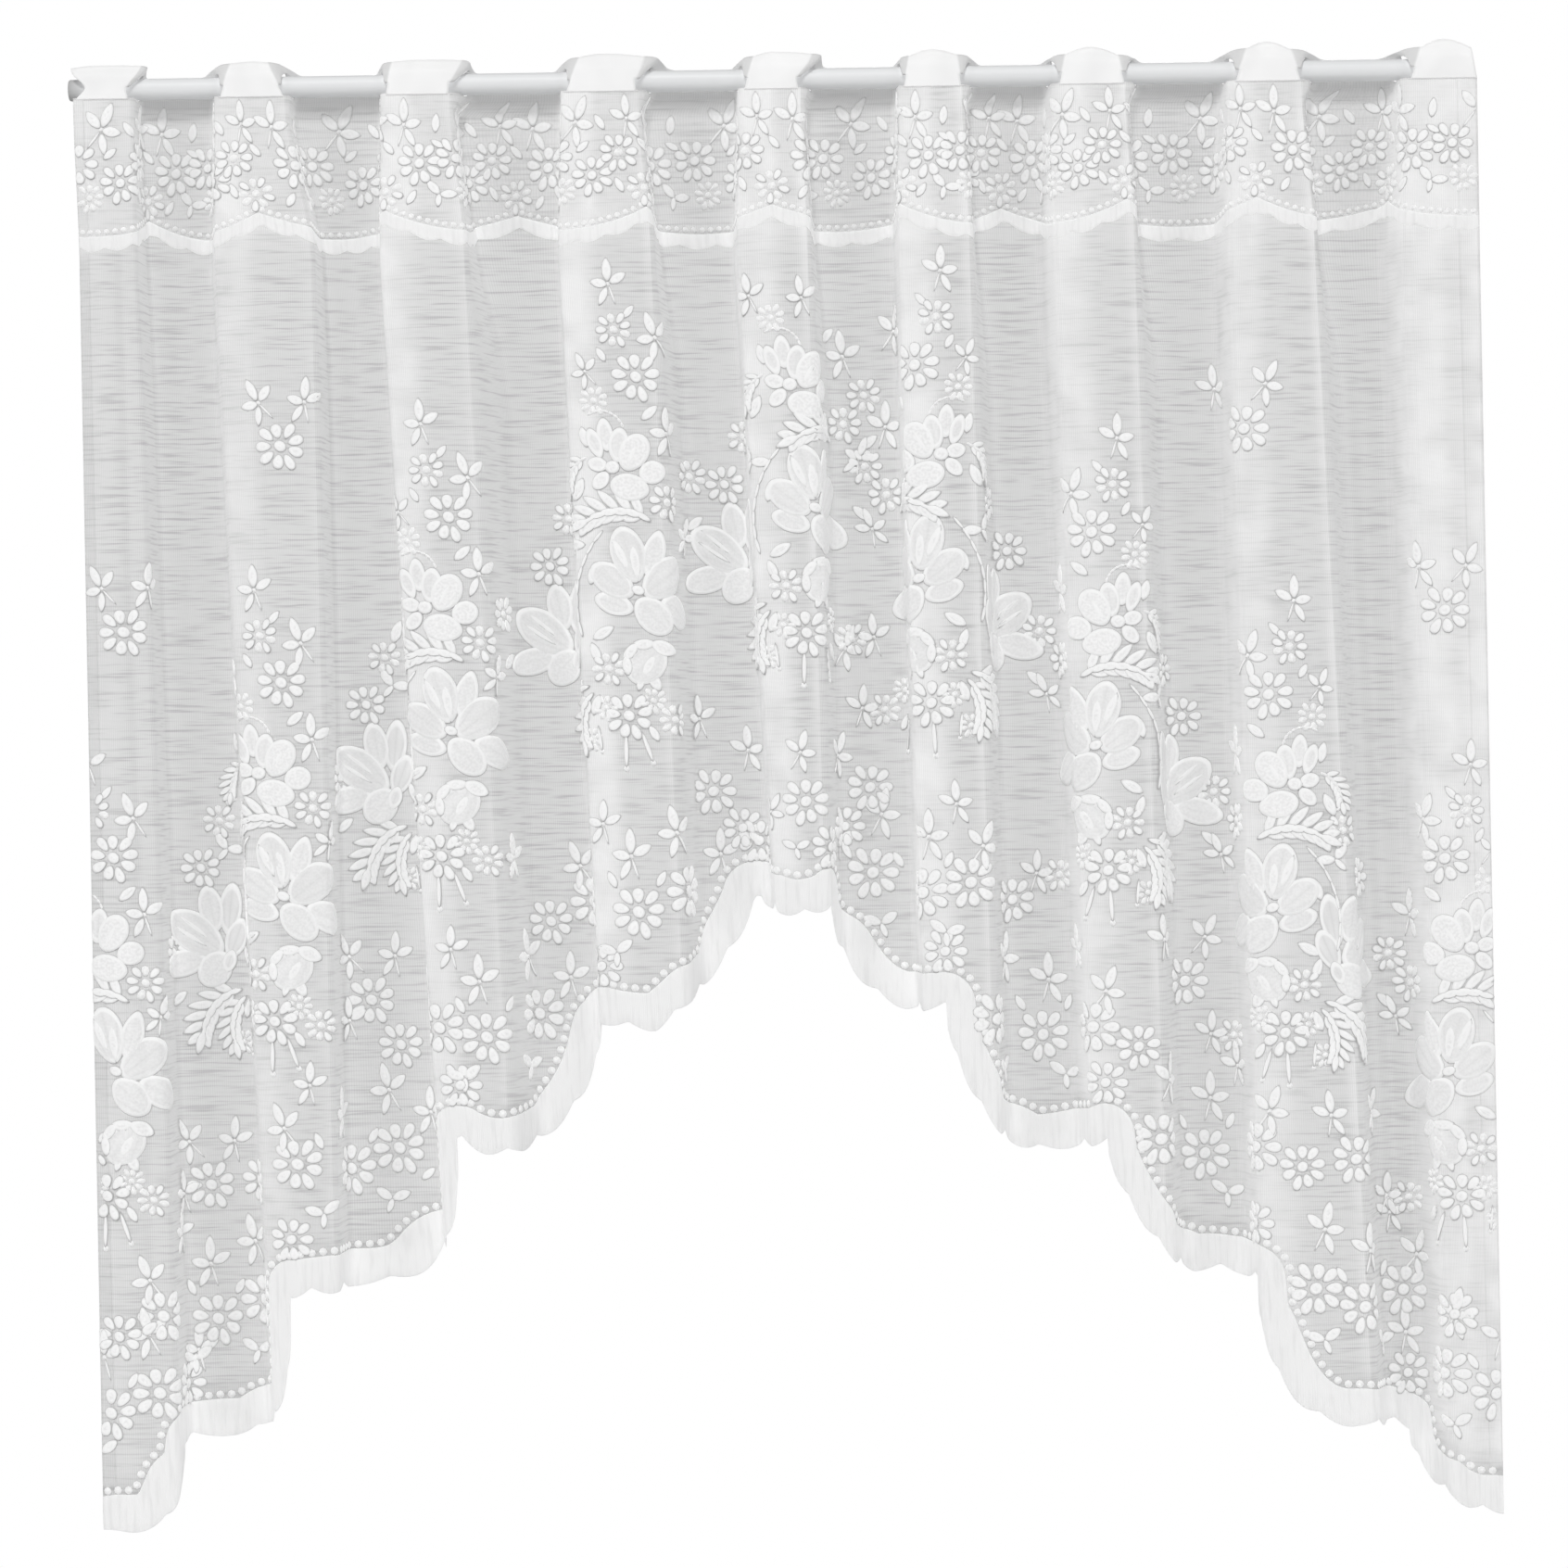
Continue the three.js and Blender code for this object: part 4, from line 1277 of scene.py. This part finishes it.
def upper_place(column, share):
    """A place of the heading over the slits' rim, at a share of the way down from its top edge."""
    tab = TABS[column.fold]
    x, y, front = column.x[0], column.y[0], column.front[0]
    on_left, edge, reach = tab_half(column)
    ear = tab.left_ear if on_left else tab.right_ear
    shoulder = tab.rise - (tab.left_drop if on_left else tab.right_drop) * reach**2
    rim = math.sqrt(max(0, SLIT_RADIUS**2 - y**2))
    if front < SLIT_SHARE:
        rim = max(rim, HEADING_BACK_RIM)
    over = blend(HEADING_BACK_TOP, shoulder, max(0, front) ** blend(EAR_LYING, EAR_STANDING, ear))
    z = blend(max(over, rim + CROSSING_STRIP), rim, share)
    shift = tab_shift(tab, on_left, z) * reach * front
    stand_out = (x - edge) * EAR_SPREAD * ear * (1 - share) if column.on_side else 0
    tilt = TAB_TILT * front * ease((z - TAB_TILT_FROM) / (tab.rise - TAB_TILT_FROM))
    return x + shift + stand_out, y + tilt, z


def lower_place(column, share):
    """A place of the heading beside the rod, at a share of the way down to its bottom edge."""
    x, y, front = column.x[0], column.y[0], column.front[0]
    on_left, edge, reach = tab_half(column)
    if front < SLIT_SHARE + SLIT_SHARE_ROOM:
        if column.on_side:
            x = edge + math.copysign(SLIT_LIP, x - edge) + (x - edge) * (1 - 2 * front)
            y = BACK_AT_ROD
        return x, y, blend(HEADING_BACK_RIM, HEADING_BACK_BOTTOM, share)
    z = blend(0, HEADING_FACE_BOTTOM, share)
    return x + tab_shift(TABS[column.fold], on_left, z) * reach * front, y, z


HEADING_BASE = section(np.array([LACE_TOP]))


def make_heading(base):
    """The heading over the columns of its base, open where its slits let the rod through."""
    places, outs, flats = [], [], []
    run = np.gradient(np.array([[c.x[0], c.y[0]] for c in base]), axis=0)
    facing = np.stack([run[:, 1], -run[:, 0], 0 * run[:, 0]], axis=1)
    facing /= np.linalg.norm(facing, axis=1)[:, None]
    cloth = [column.cloth[0] for column in base]
    for share in np.linspace(0, 1, HEADING_UPPER_ROWS):
        places += [upper_place(column, share) for column in base]
        outs += list(facing)
        flats += cloth
    for share in HEADING_LOWER_SHARES:
        places += [lower_place(column, share) for column in base]
        outs += [(0, -1, 0)] * len(base)
        flats += cloth
    columns = len(base)
    rows = len(places) // columns
    front = np.array([column.front[0] for column in base])
    least = np.minimum(front[:-1], front[1:])
    open_slit = (least > SLIT_SHARE - SLIT_SHARE_ROOM) & (least < 1)
    keep = np.ones((rows - 1, columns - 1), bool)
    keep[HEADING_UPPER_ROWS - 1:] = ~open_slit
    quads = grid_quads(rows, columns)[keep.ravel()]
    middle, out = np.array(places), np.array(outs)
    points = np.concatenate([middle + HEADING_HALF * out, middle - HEADING_HALF * out]) * MM
    flat_map = np.tile(np.stack([np.array(flats), middle[:, 2]], axis=1), (2, 1)) * MM
    faces = closed_faces(quads, len(middle))
    # Painted shade on the tabs' ears and slit sides, wherever the cloth turns away from the face.
    side = np.tile(np.clip(EAR_SHADE_SHARPNESS * (1 - front), 0, 1), 2 * rows)
    used = np.unique(faces)
    renumber = np.zeros(len(points), int)
    renumber[used] = np.arange(used.size)
    return add_piece(
        "heading_strip", points[used], renumber[faces], heading_finish(), flat_map[used],
        values={"side": side[used]},
    )


# The seam that joins the heading to the lace, stitched on the faces of the tabs alone.
STITCH_PITCH = 3
STITCH_Z = -7
STITCH_HALF_LENGTH = 1.15
STITCH_HALF_WIDTH = 0.32
STITCH_HEIGHT = 1.0
STITCH_BEHIND_FACE = 0.2


def make_seam():
    places = np.arange(SIDE_MARGIN, CLOTH_WIDTH - SIDE_MARGIN, STITCH_PITCH)
    places = places[np.interp(places, FLAT, HUNG_Y[0]) < FACE_AT_ROD + STITCH_BEHIND_FACE]
    pads = [level_pad(s, STITCH_Z, STITCH_HALF_LENGTH, STITCH_HALF_WIDTH, STITCH_HEIGHT) for s in places]
    return padded_figures("heading_seam", pads, dense_border)


# The rod's rounded ends, as distances from the end and radii. Its left end has painted shade.
ROD_PROFILE = [(0, 5.2), (0.15, 5.9), (0.5, 6.3), (1.1, ROD_RADIUS)]
ROD_SPOKES = 96
ROD_STEPS = 60
ROD_END_SHADE_LENGTH = 15


def make_rod():
    """The rod turned about X from the profile of its rounded ends."""
    left = [(ROD_LEFT_END + back, radius) for back, radius in ROD_PROFILE]
    right = [(ROD_RIGHT_END - back, radius) for back, radius in reversed(ROD_PROFILE)]
    body = [(x, ROD_RADIUS) for x in np.linspace(left[-1][0], right[0][0], ROD_STEPS)[1:-1]]
    rings = np.array(left + body + right)
    angle = np.arange(ROD_SPOKES) * 2 * np.pi / ROD_SPOKES
    x = np.repeat(rings[:, 0], ROD_SPOKES)
    y = np.outer(rings[:, 1], np.cos(angle)).ravel()
    z = np.outer(rings[:, 1], np.sin(angle)).ravel()
    ends = [[ROD_LEFT_END, 0, 0], [ROD_RIGHT_END, 0, 0]]
    points = np.concatenate([np.stack([x, y, z], axis=1), ends]) * MM
    faces = []
    for k in range(len(rings) - 1):
        faces += ring_faces(k * ROD_SPOKES, (k + 1) * ROD_SPOKES, ROD_SPOKES)
    last = (len(rings) - 1) * ROD_SPOKES
    faces.append(fan_faces(len(points) - 2, 0, ROD_SPOKES))
    faces.append(fan_faces(len(points) - 1, last, ROD_SPOKES)[:, [0, 2, 1]])
    flat_map = np.stack([points[:, 0], points[:, 2]], axis=1)
    # Painted shade at the rod's left end, fading out within a short length.
    painted_end_shade = np.clip(1 - (points[:, 0] / MM - ROD_LEFT_END) / ROD_END_SHADE_LENGTH, 0, 1)
    faces = np.concatenate(faces)[:, ::-1]
    return add_piece("rod_tube", points, faces, rod_finish(), flat_map, values={"painted_end_shade": painted_end_shade})


rod_tube = make_rod()
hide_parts("rod")
heading_strip = make_heading(HEADING_BASE)
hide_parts("heading")
net = make_net()
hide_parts("lace_panel")
lace_pieces = [
    make_hem_border(),
    make_band_border(),
    make_side_hem("side_hem_left", 0, SIDE_HEM_WIDTHS[0]),
    make_side_hem("side_hem_right", CLOTH_WIDTH - SIDE_HEM_WIDTHS[1], CLOTH_WIDTH),
    make_bouquets("left_bouquets", -1),
    make_bouquets("right_bouquets", 1),
    make_spray(),
    make_hem_flowers(),
    make_band_flowers(),
    make_hem_beads(),
]
heading_seam = make_seam()

# The floor, the light and the camera.
FLOOR_AT = (0, -0.1, -1.25)
FLOOR_SIZE = 3.2
FLOOR_STEPS = 8
bpy.ops.mesh.primitive_grid_add(
    x_subdivisions=FLOOR_STEPS, y_subdivisions=FLOOR_STEPS, size=FLOOR_SIZE, location=FLOOR_AT
)
floor = bpy.context.object
floor.name = "floor"
floor.data.materials.append(floor_finish())


def soft_light(name, place, aim, size, power, shadow):
    """A round light of a size and a power at a place, turned to its aim, with or without shadows."""
    lamp = bpy.data.lights.new(name, "AREA")
    lamp.shape = "DISK"
    lamp.size = size
    lamp.energy = power
    lamp.use_shadow = shadow
    piece = bpy.data.objects.new(name, lamp)
    bpy.context.scene.collection.objects.link(piece)
    piece.location = place
    direction = np.array(aim) - np.array(place)
    yaw = math.atan2(direction[1], direction[0])
    pitch = math.acos(-direction[2] / np.linalg.norm(direction))
    piece.rotation_euler = (pitch, 0, yaw - math.pi / 2)


# Two lights stand together at each side, one of them without shadows, so that the folds are shaded softly.
CLOTH_MIDDLE = (0, 0, -0.42)
CLOTH_UPPER = (0, 0, -0.3)
SideLights = namedtuple("SideLights", "side place plain_power shade_power")
SIDE_LIGHTS = [
    SideLights("left", (-8.3, -4.4, 0.6), 230, 160),
    SideLights("right", (8.3, -4.4, 0), 220, 150),
]
for lights in SIDE_LIGHTS:
    soft_light(lights.side + "_light", lights.place, CLOTH_MIDDLE, 4.0, lights.plain_power, False)
    soft_light(lights.side + "_shade_light", lights.place, CLOTH_MIDDLE, 4.0, lights.shade_power, True)
soft_light("top_light", (-0.6, -4.2, 3.8), CLOTH_UPPER, 1.2, 150, True)
soft_light("back_light", (1.0, 8.0, 1.0), CLOTH_MIDDLE, 5.0, 340, False)

# The surroundings are white to the camera and dimmer as a light.
AROUND_LEVEL = 0.27
world = bpy.data.worlds.new("studio")
bpy.context.scene.world = world
world.use_nodes = True
sky = world.node_tree
background = sky.nodes["Background"]
seen = node(sky, "ShaderNodeLightPath").outputs["Is Camera Ray"]
level = spread(sky, seen, 0.0, 1.0, AROUND_LEVEL, 1.0)
sky.links.new(level, background.inputs["Strength"])
background.inputs["Color"].default_value = grey(1.0)
bpy.context.scene.view_settings.view_transform = "Standard"

CAMERA_DISTANCE = 2.3
CAMERA_CENTRE = (-0.0022, -0.4332)
CAMERA_ROLL = math.radians(0.9)
FRAME_WIDTH = 0.9644
lens = bpy.data.cameras.new("camera")
lens.sensor_width = 36
lens.lens = lens.sensor_width * CAMERA_DISTANCE / FRAME_WIDTH
camera = bpy.data.objects.new("camera", lens)
bpy.context.scene.collection.objects.link(camera)
camera.location = (CAMERA_CENTRE[0], -CAMERA_DISTANCE, CAMERA_CENTRE[1])
camera.rotation_euler = (math.pi / 2, CAMERA_ROLL, 0)
bpy.context.scene.camera = camera
